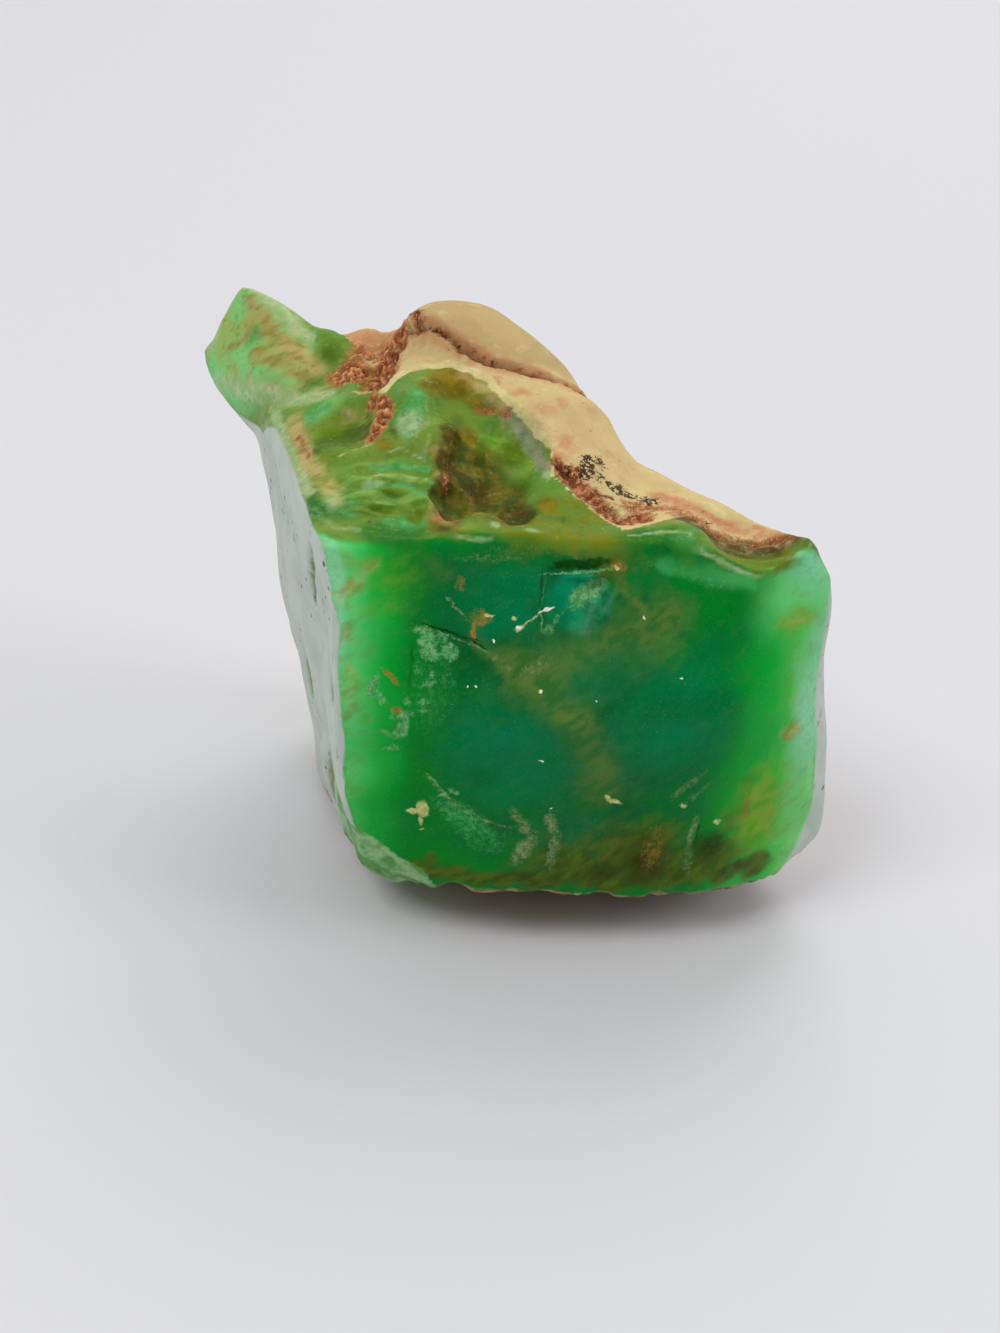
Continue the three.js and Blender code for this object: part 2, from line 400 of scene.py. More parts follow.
CRACK = (
    (-12.6, 9.5, 44.6), (-10.0, 8.1, 45.1), (-6.1, 6.3, 45.0), (-3.5, 5.9, 44.4), (-0.4, 6.0, 43.9),
    (3.1, 5.7, 43.5), (4.8, 5.2, 43.0), (8.0, 6.5, 40.5),
)
SIDE_CRACK = ((-13.5, 13.0, 44.6), (-11.6, 12.2, 45.9), (-10.6, 10.4, 46.0), (-10.0, 8.1, 45.1))
RIND_EDGE = (
    (-12.3, 1.2, 42.5), (-11.9, 2.6, 42.9), (-10.5, 3.9, 43.5), (-8.5, 4.2, 44.1), (-6.8, 4.8, 44.2),
    (-4.8, 4.6, 44.0), (-3.3, 4.0, 43.5), (-0.3, 0.8, 42.3), (1.3, -0.8, 41.2), (3.0, -3.2, 40.8),
)
SEAM = ((3.0, -3.2, 40.8), (3.4, -6.5, 39.3), (6.8, -8.9, 37.9), (9.9, -11.8, 37.3))
RUST_LEDGE = (
    (3.8, -5.2, 39.7), (5.4, -6.9, 38.8), (7.6, -8.3, 38.0), (9.6, -9.9, 37.3), (11.6, -9.2, 37.5),
)
CRUMB_RUN = ((-13.0, 1.5, 41.0), (-12.0, -0.5, 42.0), (-12.0, -2.4, 41.5), (-12.6, -4.2, 40.3))
FACE_STEP = ((-6.9, 30.5), (-5.1, 30.1), (-3.2, 29.5), (-1.7, 29.2))
FACE_ARC = ((-4.6, 18.6), (-4.2, 17.3), (-3.0, 15.9), (-1.6, 14.6), (0.3, 13.7), (2.6, 13.4))


def markings() -> tuple[Marking, ...]:
    """Every zone of colour on the stone, in millimetres from the middle of its underside.

    Returns:
        The markings, in no order that matters.
    """
    return face_markings() + top_markings() + rind_markings()


def face_markings() -> tuple[Marking, ...]:
    """The zones of the broken front, from its dark heart to its pale rims.

    Returns:
        The markings of the face.
    """
    face = Ground.FACE
    return (
        Marking("deep", face, (
            on_face(2.2, 20.8, 7.4, 5.6, 0.9, lean=-14.0), on_face(15.6, 23.4, 6.4, 6.6, 0.9),
            on_face(0.6, 32.4, 6.2, 3.2, 0.8, 0.95), on_face(1.6, 17.4, 5.4, 2.6, 0.9, 0.6),
            on_face(9.6, 27.6, 5.0, 3.0, 0.8, 0.6), on_face(8.0, 13.4, 5.0, 2.6, 0.9, 0.45),
        ), 1.2, 5.0),
        Marking("gloom", face, (
            on_face(2.0, 31.0, 9.4, 6.4, 0.8), on_face(8.0, 22.0, 12.6, 9.6, 0.8),
            on_face(9.0, 12.6, 11.0, 5.4, 0.9, 0.8),
        ), 1.6, 6.0),
        Marking("pool", face, (on_face(6.6, 32.6, 3.0, 2.6, 0.35),), 0.3, 2.0),
        # Mint zones; the painted glow of light through the front's thin left side is added to this mask
        # later.
        Marking("mint", Ground.ANY, (
            on_face(26.6, 33.6, 5.6, 4.2, 0.9),
            face_line((14.0, 36.2), (18.0, 35.0), (21.0, 34.6), width=1.0, weight=0.45),
            Dab((-29.6, 17.0, 35.4), (3.0, 5.6, 2.6), 0.9, 0.9),
            Dab((-17.9, 3.8, 39.2), (3.0, 1.6, 1.4), 0.9, 0.6),
        ), 0.8, 4.0),
        Marking("lime", Ground.ANY, (
            on_face(24.6, 13.4, 3.0, 5.6, 0.9), Dab((1.4, -3.6, 39.2), (1.2, 2.0, 1.2), 0.8, 0.8),
            on_face(-8.6, 33.6, 3.0, 3.0, 0.95, 0.35), on_face(25.2, 31.6, 2.6, 1.6, 0.9, 0.7),
            on_face(-12.0, 26.6, 0.8, 1.2, 0.9, 0.5), on_face(-9.8, 22.4, 0.7, 0.9, 0.9, 0.6),
            on_face(-12.4, 34.8, 2.0, 1.0, 0.9, 0.5), on_face(13.6, 29.4, 2.4, 1.8, 0.9, 0.45),
            Dab((-1.6, -0.9, 39.7), (1.6, 1.6, 1.2), 0.7, 0.9),
            Dab((-12.9, -11.6, 37.3), (2.2, 2.8, 1.2), 0.8, 0.5),
        ), 0.8, 3.0),
        Marking("haze", face, (
            face_line((3.2, 26.6), (6.0, 28.2), (9.0, 29.6), (11.6, 30.8), (14.2, 31.8),
                      width=2.4, soft=0.95, weight=0.85),
            face_line((2.0, 27.6), (4.6, 25.8), (7.6, 23.6), width=2.0, soft=0.95),
            face_line((7.6, 23.4), (9.2, 21.0), (10.6, 17.6), width=2.4, soft=0.95, weight=0.8),
            face_line((-1.4, 31.6), (-1.8, 29.6), (1.6, 28.4), (4.0, 27.6),
                      width=0.7, soft=0.95, weight=0.8),
            on_face(11.8, 29.2, 3.6, 2.2, 0.9, 0.7),
            face_line((9.4, 36.0), (10.4, 33.8), (12.2, 32.0), width=0.7, soft=0.9, weight=0.85),
            face_line((2.8, 36.4), (6.4, 36.5), (9.8, 36.2), width=0.6, soft=0.8),
            on_face(-4.8, 34.6, 1.6, 1.0, 0.9, 0.5),
        ), 1.2, 2.4),
        Marking("mist", face, (
            on_face(5.4, 25.8, 7.4, 5.6, 0.95, lean=24.0), on_face(10.8, 30.4, 5.6, 4.0, 0.95),
            on_face(11.0, 20.0, 5.2, 6.4, 0.95, 0.8), on_face(9.0, 12.6, 7.0, 3.4, 0.95, 0.7),
            on_face(-3.6, 34.4, 4.0, 2.0, 0.95, 0.5),
        ), 1.2, 3.0),
        Marking("bog", face, (
            on_face(14.6, 10.6, 5.0, 3.8, 0.9), on_face(8.8, 35.6, 3.6, 1.8, 0.9, 0.75),
            on_face(2.6, 36.4, 3.4, 0.9, 0.9, 0.6), on_face(20.6, 9.2, 4.4, 2.8, 0.9),
            on_face(8.6, 9.8, 5.4, 2.8, 0.9, 0.8),
            face_line((-5.0, 7.4), (4.0, 8.0), (12.0, 8.2), (20.0, 8.0), (26.0, 7.0),
                      width=1.3, soft=0.9),
            on_face(23.2, 17.4, 1.6, 1.6, 0.9, 0.4), on_face(22.8, 13.0, 1.2, 3.4, 0.9, 0.5),
        ), 1.4, 2.4),
        Marking("peat", face, (
            on_face(15.0, 9.6, 2.6, 2.8, 0.9), on_face(20.8, 10.6, 2.2, 1.6, 0.9, 0.8),
            on_face(11.6, 8.4, 2.6, 1.2, 0.9, 0.8), on_face(5.0, 8.0, 2.6, 0.7, 0.9, 0.6),
            on_face(23.0, 7.6, 2.4, 0.9, 0.9, 0.8),
        ), 1.0, 1.8),
        Marking("blush", Ground.ANY, (
            face_line((-13.4, 32.2), (-11.8, 33.4), (-10.4, 34.9), width=0.6, soft=0.9, weight=0.5),
            on_face(-12.4, 29.4, 0.6, 1.6, 0.9, 0.45), on_face(-11.6, 24.2, 0.7, 2.6, 0.9, 0.4),
            Dab((-22.3, 13.6, 40.8), (2.6, 2.2, 1.8), 0.8, 0.9),
            Dab((-19.8, 11.2, 40.0), (1.8, 1.6, 1.4), 0.8, 0.8),
            Streak(((-26.4, 20.0, 44.2), (-24.0, 17.2, 42.6), (-21.6, 15.2, 41.6)), 1.0, 0.9, 0.8),
            Dab((-15.0, 1.8, 39.2), (1.2, 1.4, 1.0), 0.8, 0.7),
            Dab((-3.7, 2.8, 43.0), (1.3, 1.0, 1.0), 0.8), on_face(-11.6, 26.6, 0.7, 0.9, 0.9, 0.6),
            on_face(26.4, 21.2, 1.3, 0.8, 0.8, 0.8), on_face(25.4, 31.2, 1.6, 0.5, 0.9, 0.6),
            on_face(26.4, 24.8, 0.6, 1.2, 0.9, 0.4),
            Streak(((-20.4, 4.4, 37.6), (-19.4, -0.6, 37.4), (-17.6, -6.4, 37.4), (-15.6, -9.4, 37.4),
                   (-14.9, -12.0, 37.2)), 1.15, 0.9),
            Streak(((-24.2, 11.3, 37.9), (-21.0, 9.9, 38.9), (-17.7, 8.0, 39.9)), 0.4, 0.8, 0.8),
        ), 0.7, 1.8),
    )


def top_markings() -> tuple[Marking, ...]:
    """The zones of the hollow, the ledges and the horn, above the front's brow.

    Returns:
        The markings of the top.
    """
    top = Ground.TOP
    return (
        Marking("horn", top, (
            Dab((-27.0, 17.4, 40.0), (6.4, 9.0, 8.0), 0.5),
            Dab((-22.0, 12.4, 40.0), (3.4, 4.0, 3.0), 0.7),
        ), 1.0, 4.0),
        Marking("murk", top, (
            Dab((-3.2, -8.0, 38.2), (4.2, 6.4, 3.8), 0.5), Dab((-1.0, -10.0, 37.0), (3.4, 4.4, 2.0), 0.7),
            Dab((-5.2, -5.0, 40.0), (2.2, 5.6, 2.8), 0.6), Dab((-5.2, -13.6, 37.4), (1.9, 2.6, 1.6), 0.7),
        ), 0.8, 2.0),
        Marking("jade", top, (
            Dab((-9.3, -2.8, 42.2), (1.3, 4.0, 2.6), 0.6), Dab((-18.4, 3.2, 39.0), (2.8, 2.6, 1.4), 0.8),
            Streak(((-11.8, -7.6, 38.8), (-9.8, -7.1, 39.0), (-7.4, -7.8, 38.9)), 0.5, 0.8),
            Streak(((-12.0, -9.6, 38.1), (-9.2, -9.6, 38.2), (-7.0, -10.8, 38.0)), 0.5, 0.8),
            Dab((-8.6, -14.0, 36.9), (2.6, 1.2, 0.8), 0.8, 0.9),
            Dab((-13.2, -12.8, 37.0), (1.2, 2.0, 0.8), 0.8, 0.8),
            Dab((15.4, -12.0, 37.0), (2.4, 2.2, 1.0), 0.8, 0.8),
        ), 0.5, 1.6),
        Marking("leaf", top, (
            Dab((-9.4, -15.8, 36.8), (3.8, 2.4, 1.6), 0.7),
            Dab((-15.0, -12.6, 36.9), (3.6, 3.4, 1.6), 0.8, 0.9),
            Dab((12.6, -13.0, 37.2), (4.0, 2.6, 1.4), 0.7, 0.9),
            Dab((17.0, -14.0, 36.4), (6.0, 1.6, 1.4), 0.9, 0.8),
            Dab((2.6, -15.6, 36.6), (4.4, 1.2, 1.0), 0.9, 0.5),
        ), 0.6, 2.0),
        Marking("moss", top, (
            Dab((-15.8, -2.4, 39.2), (2.6, 5.2, 3.0), 0.5),
            Dab((-11.0, -12.8, 37.0), (3.6, 1.1, 0.8), 0.8, 0.8),
            Dab((-19.0, 13.2, 40.6), (1.8, 1.6, 1.6), 0.9, 0.7),
            Dab((-20.2, 10.6, 39.6), (1.6, 1.6, 1.4), 0.9, 0.6),
            Dab((-0.4, -2.2, 39.0), (1.8, 2.0, 1.4), 0.8), Dab((-3.4, -3.4, 39.6), (1.6, 2.2, 1.6), 0.8),
            Dab((-10.4, -11.4, 37.6), (2.2, 1.4, 0.9), 0.8, 0.9),
            Dab((-7.7, -13.0, 37.3), (1.0, 1.6, 0.8), 0.8),
            Dab((-26.2, 16.0, 41.2), (2.6, 1.6, 1.6), 0.9, 0.5),
            Dab((0.6, -7.0, 37.9), (1.8, 2.2, 1.0), 0.8, 0.7),
        ), 0.7, 2.2),
        Marking("gold", top, (
            Dab((-6.4, 2.2, 43.4), (3.0, 3.0, 1.6), 0.6),
            Dab((-8.8, 0.8, 43.4), (0.9, 1.2, 1.0), 0.8, 0.8),
            Dab((-3.6, 1.6, 42.0), (1.8, 1.6, 1.0), 0.7, 0.8),
            Dab((-4.2, -2.4, 40.2), (1.0, 1.6, 1.0), 0.8, 0.9),
            Dab((3.2, -9.8, 38.2), (1.2, 1.6, 0.8), 0.8, 0.9),
            Dab((-11.6, -5.6, 40.2), (1.2, 1.2, 0.8), 0.9, 0.8),
            Dab((-22.2, 12.8, 40.2), (1.2, 1.2, 1.4), 0.9, 0.5),
        ), 0.6, 1.8),
        Marking("sage", top, (
            Dab((6.0, -10.6, 37.8), (4.4, 2.8, 1.4), 0.5), Dab((4.6, -13.6, 37.4), (7.4, 3.4, 1.6), 0.5),
            Dab((-4.0, -15.9, 37.0), (2.4, 1.0, 0.8), 0.8, 0.6),
            Streak(((16.0, -12.4, 37.0), (18.4, -12.4, 36.0), (21.0, -12.4, 35.6), (23.6, -11.6, 36.2)),
                   1.2, 0.7),
        ), 0.5, 2.0),
        Marking("ash", top, (
            Streak(((-0.5, 0.6, 41.8), (0.4, -0.6, 40.8), (1.6, -2.4, 39.8), (2.4, -5.4, 39.4)),
                   1.0, 0.7),
        ), 0.3, 1.4),
        Marking("umber", top, (
            Dab((-5.8, -6.4, 39.0), (1.3, 2.6, 1.8), 0.8), Dab((-5.5, -11.4, 37.2), (1.2, 3.6, 1.8), 0.7),
            Dab((-5.9, -4.2, 40.7), (1.2, 1.8, 1.6), 0.8, 0.85),
            Dab((-2.9, -7.4, 37.3), (1.9, 2.4, 1.6), 0.9, 0.95),
            Dab((0.8, -10.6, 36.8), (2.0, 2.2, 1.4), 0.8), Dab((-3.8, -6.8, 37.8), (1.5, 1.5, 1.4), 0.8),
            Dab((-5.9, -9.0, 38.6), (1.0, 2.4, 1.8), 0.8),
            Dab((-13.1, -1.6, 39.8), (0.9, 3.0, 1.6), 0.9, 0.8),
            Dab((-10.7, -4.4, 40.9), (0.6, 1.6, 1.0), 0.9, 0.7),
            Dab((-11.6, -14.4, 36.6), (0.4, 0.5, 0.5), 0.5),
            Dab((4.4, -11.8, 37.4), (1.2, 0.8, 0.6), 0.9, 0.4),
        ), 0.7, 1.6),
        Marking("tan", top, (
            Streak(((-28.2, 19.2, 43.6), (-26.8, 17.2, 42.2), (-27.2, 16.8, 40.4), (-28.8, 17.4, 39.4)),
                   0.8, 0.9, 0.8),
            Streak(((-27.0, 18.6, 43.4), (-24.6, 16.0, 41.9), (-22.4, 14.0, 40.8), (-19.6, 11.6, 39.9)),
                   1.1, 0.9, 0.9),
            Streak(((-25.6, 14.6, 39.6), (-23.0, 13.0, 39.4), (-20.4, 10.8, 38.8)), 1.0, 0.9, 0.9),
            Streak(((-28.6, 15.6, 37.4), (-25.4, 12.6, 37.6), (-21.6, 9.0, 38.2)), 0.8, 0.9, 0.6),
            Streak(((-20.4, 3.4, 37.4), (-19.2, -0.6, 37.6), (-17.8, -5.4, 37.4)), 0.9, 0.9, 0.9),
            Dab((-18.4, -8.0, 37.2), (1.0, 1.8, 1.0), 0.9, 0.8),
            Streak(((-5.4, 3.4, 43.9), (-3.4, 2.6, 43.2), (-1.4, 1.4, 42.2)), 0.8, 0.9, 0.9),
            Streak(((-7.2, -4.4, 40.8), (-6.7, -8.4, 39.4), (-6.5, -12.6, 37.6)), 0.4, 0.9, 0.8),
            Dab((-5.4, -13.6, 37.4), (1.8, 1.2, 0.9), 0.9, 0.9),
        ), 0.5, 1.6),
        # Pale ridges and edges, with painted glints: the dabs on the glassy bump at (-9.4, -4.0) and near
        # the brow at (-1.0, -14.0), (2.2, -14.2) and (3.0, -6.4) are painted highlights.
        Marking("frost", Ground.ANY, (
            Streak(((-29.6, 17.6, 35.4), (-27.0, 14.2, 36.2), (-23.6, 10.6, 37.4), (-20.6, 7.8, 38.0),
                   (-18.0, 6.6, 39.2)), 1.35, 0.8),
            Streak(((-26.6, 20.6, 44.4), (-24.0, 17.6, 43.0), (-21.0, 15.2, 41.8)), 1.1, 0.8),
            Streak(((-31.4, 19.8, 38.0), (-30.6, 20.6, 41.0), (-29.2, 21.0, 44.0)), 1.3, 0.9, 0.7),
            Streak(((-23.4, 9.6, 36.8), (-21.9, 4.2, 36.8), (-20.4, -1.0, 36.8), (-18.9, -5.5, 36.8),
                   (-17.0, -10.5, 36.8)), 0.7, 0.7, 0.95),
            Streak(((-12.0, -8.4, 38.4), (-9.6, -8.4, 38.6), (-7.3, -9.0, 38.5)), 0.24, 0.8, 0.8),
            Streak(((-12.6, -9.9, 37.9), (-12.1, -9.2, 38.0), (-11.2, -9.4, 38.0)), 0.5, 0.9, 0.8),
            Dab((-14.8, -12.2, 37.2), (1.0, 2.2, 0.8), 0.8, 0.6),
            Dab((-9.4, -4.0, 41.7), (1.4, 1.8, 1.5), 0.8),
            Streak(((-16.2, -13.4, 36.9), (-14.3, -16.3, 36.6), (-12.2, -15.7, 36.6)), 0.4, 0.9, 0.45),
            Dab((-1.0, -14.0, 37.4), (0.5, 0.6, 0.5), 0.8), Dab((2.2, -14.2, 37.3), (0.8, 0.4, 0.4), 0.8),
            Streak(((-15.3, -6.4, 38.8), (-14.4, -5.4, 39.0), (-13.2, -5.2, 39.6), (-11.6, -5.3, 40.1)),
                   0.18, 0.7),
            Streak(((-9.9, 1.6, 43.6), (-8.6, 2.0, 43.9), (-8.2, -1.0, 42.8), (-7.8, -4.2, 41.3),
                   (-7.1, -7.4, 39.6)), 0.18, 0.8, 0.5),
            Streak(((-11.0, -6.3, 39.8), (-9.5, -6.1, 40.0), (-7.6, -6.6, 39.4)), 0.16, 0.8, 0.8),
            Streak(((-0.4, 0.9, 42.0), (-0.6, -0.2, 41.2)), 0.24, 0.8, 0.7),
            Dab((3.0, -6.4, 39.2), (0.5, 0.8, 0.8), 0.8),
            Streak(((-4.6, -15.8, 36.7), (-3.0, -15.9, 36.8), (-1.4, -15.6, 36.8)), 0.3, 0.8, 0.7),
            Streak(((10.2, -13.0, 37.3), (12.8, -12.2, 37.7), (15.4, -11.8, 37.6), (16.2, -13.0, 37.0)),
                   0.25, 0.8, 0.8),
            Streak(((16.4, -13.2, 36.6), (19.0, -13.5, 35.7), (21.6, -13.6, 35.2), (24.6, -12.6, 36.2)),
                   0.3, 0.8, 0.8),
        ), 0.35, 1.6),
        Marking("dip", Ground.ANY, (
            Streak(((15.2, -9.2, 37.2), (17.6, -9.8, 36.6), (19.4, -9.8, 35.9), (21.6, -9.7, 35.7),
                   (24.2, -9.2, 36.6)), 1.7, 0.7),
            Dab((26.0, -10.2, 37.0), (2.0, 1.8, 1.4), 0.8, 0.6),
        ), 0.6, 1.6),
    )


def rind_markings() -> tuple[Marking, ...]:
    """The zones of the rind: rust, cracks, ferns of black oxide and stains.

    Returns:
        The markings of the rind, the skin and the back.
    """
    return (
        Marking("dome", Ground.RIND, (Dab((-3.4, 11.0, 45.2), (13.0, 5.2, 4.0), 0.4),), 0.5, 3.0),
        Marking("crumb", Ground.ANY, (
            Dab((-16.4, 9.8, 40.8), (2.6, 3.0, 2.2), 0.6), Dab((-13.2, 7.0, 41.8), (2.2, 4.4, 3.0), 0.6),
            Dab((-11.6, 9.6, 43.0), (1.6, 2.6, 2.2), 0.6), Streak(CRUMB_RUN, 1.1, 0.7),
            Dab((-14.6, 13.0, 41.2), (3.0, 2.2, 1.6), 0.8, 0.8),
        ), 0.7, 1.2),
        Marking("iron", Ground.ANY, (
            Streak(CRACK, 0.3, 0.9, 0.65, rise=CRACK_RISE),
            Streak(SIDE_CRACK, 0.6, 0.9, 0.7, rise=CRACK_RISE),
            Streak(RUST_LEDGE, 1.05, 0.7), Dab((5.2, -5.4, 39.2), (1.4, 1.2, 1.0), 0.8),
            Dab((11.0, -7.6, 37.6), (2.4, 1.3, 1.0), 0.8, 0.7),
            Streak(((12.4, -7.0, 37.8), (15.5, -8.0, 37.6), (18.2, -8.7, 36.6), (21.7, -8.8, 36.2),
                   (24.4, -8.6, 37.0)), 1.1, 0.9, 0.62),
            Streak(((-5.2, 1.0, 42.5), (-3.2, 0.9, 41.9), (-1.0, 0.9, 41.8)), 0.55, 0.8, 0.75),
            Dab((-5.6, -8.6, 38.4), (0.7, 1.6, 1.2), 0.8, 0.55),
            Dab((-5.5, -13.0, 37.2), (0.9, 1.4, 0.8), 0.8, 0.55),
            Streak(((-19.6, 0.4, 37.8), (-18.2, -4.0, 37.6)), 0.4, 0.9, 0.7),
        ), 0.6, 1.0),
        Marking("gash", Ground.ANY, (
            Streak(CRACK, 0.22, 0.7, rise=CRACK_RISE), Streak(SIDE_CRACK, 0.24, 0.8, rise=CRACK_RISE),
            Streak(((3.5, -4.9, 39.9), (4.6, -6.0, 39.3), (5.6, -6.6, 38.9)), 0.5, 0.8),
            Streak(((6.8, -6.7, 38.6), (8.6, -7.4, 38.1), (10.0, -8.2, 37.8)), 0.28, 0.8, 0.9),
            Streak(((14.0, -7.9, 37.8), (17.0, -9.2, 37.0), (19.6, -9.6, 36.2)), 0.22, 0.9, 0.8),
            Dab((-12.2, 8.2, 42.6), (0.7, 1.4, 0.8), 0.8, 0.7),
            Dab((-15.0, 8.0, 40.6), (0.8, 0.8, 0.6), 0.8, 0.6),
        ), 0.4, 0.9),
        Marking("buff", Ground.ANY, (
            Streak(RIND_EDGE, 0.6, 0.6), Streak(SEAM, 0.22, 0.7),
            Dab((9.4, -8.5, 37.8), (1.5, 0.5, 0.8), 0.5),
            Dab((17.6, -5.4, 37.2), (3.0, 1.2, 1.0), 0.8, 0.7),
            Dab((-14.4, 5.2, 40.6), (1.3, 0.7, 0.8), 0.8, 0.8),
        ), 0.4, 1.2),
        Marking("fern", Ground.RIND, (
            Dab((6.8, -3.4, 39.5), (1.5, 1.3, 1.0), 0.5), Dab((6.0, -5.2, 39.2), (2.4, 0.9, 1.0), 0.6),
            Dab((9.6, -5.6, 38.2), (2.6, 1.0, 1.0), 0.6, 0.9),
            Dab((11.8, -6.0, 37.7), (1.4, 1.2, 0.8), 0.7, 0.8),
            Streak(((17.2, -7.8, 37.0), (19.6, -8.0, 36.4)), 0.5, 0.8, 0.7),
            Dab((16.6, -6.4, 37.4), (0.6, 0.4, 0.5), 0.6, 0.7),
        ), 0.3, 0.8),
        Marking("stain", Ground.RIND, (
            Dab((-2.6, 3.9, 43.3), (0.9, 0.7, 0.8), 0.8),
            Dab((0.0, 3.0, 42.9), (1.5, 1.0, 0.8), 0.9, 0.8),
            Dab((3.6, 2.2, 42.6), (1.1, 1.1, 0.9), 0.9, 0.6),
            Dab((6.0, 3.6, 41.6), (1.1, 0.9, 0.9), 0.9, 0.6),
            Dab((4.6, -2.2, 41.0), (1.8, 1.8, 0.9), 0.9, 0.8),
            Dab((3.6, -4.4, 40.4), (1.4, 1.4, 0.9), 0.9, 0.8),
            Streak(CRACK[1:], 1.1, 0.95, 0.75, rise=CRACK_RISE),
            Dab((8.4, -0.8, 39.9), (1.4, 1.0, 1.0), 0.9, 0.5),
            Dab((1.8, 1.0, 42.4), (1.8, 1.0, 1.0), 0.9, 0.6),
            Dab((-15.6, 15.2, 41.4), (4.4, 3.6, 2.8), 0.9, 0.9),
            Streak(((12.6, -4.8, 37.9), (16.0, -6.2, 37.5), (19.0, -6.8, 36.8), (23.0, -7.6, 37.0)),
                   1.1, 0.9),
        ), 0.7, 1.2),
        Marking("slot", Ground.SKIN, (
            Streak(((-16.3, -13.6, 33.0), (-16.3, -13.0, 31.6), (-16.3, -12.2, 30.4)), 0.75, 0.6),
            Streak(((-16.2, -11.6, 29.2), (-16.2, -10.6, 27.2)), 0.95, 0.6),
            Dab((-17.0, -5.0, 16.6), (3.0, 2.3, 2.6), 0.35),
            Dab((-13.6, -16.6, 21.8), (3.0, 1.5, 1.9), 0.5),
            Streak(((-13.3, -19.5, 28.4), (-13.1, -20.2, 25.6)), 0.45, 0.7, 0.8),
            Streak(((-14.1, -11.4, 11.4), (-13.8, -9.9, 8.4), (-13.4, -9.1, 5.3)), 1.5, 0.8, 0.9),
            Streak(((-20.6, 3.4, 33.0), (-20.2, 1.6, 30.4)), 0.5, 0.8, 0.7),
        ), 0.3, 1.0),
    )


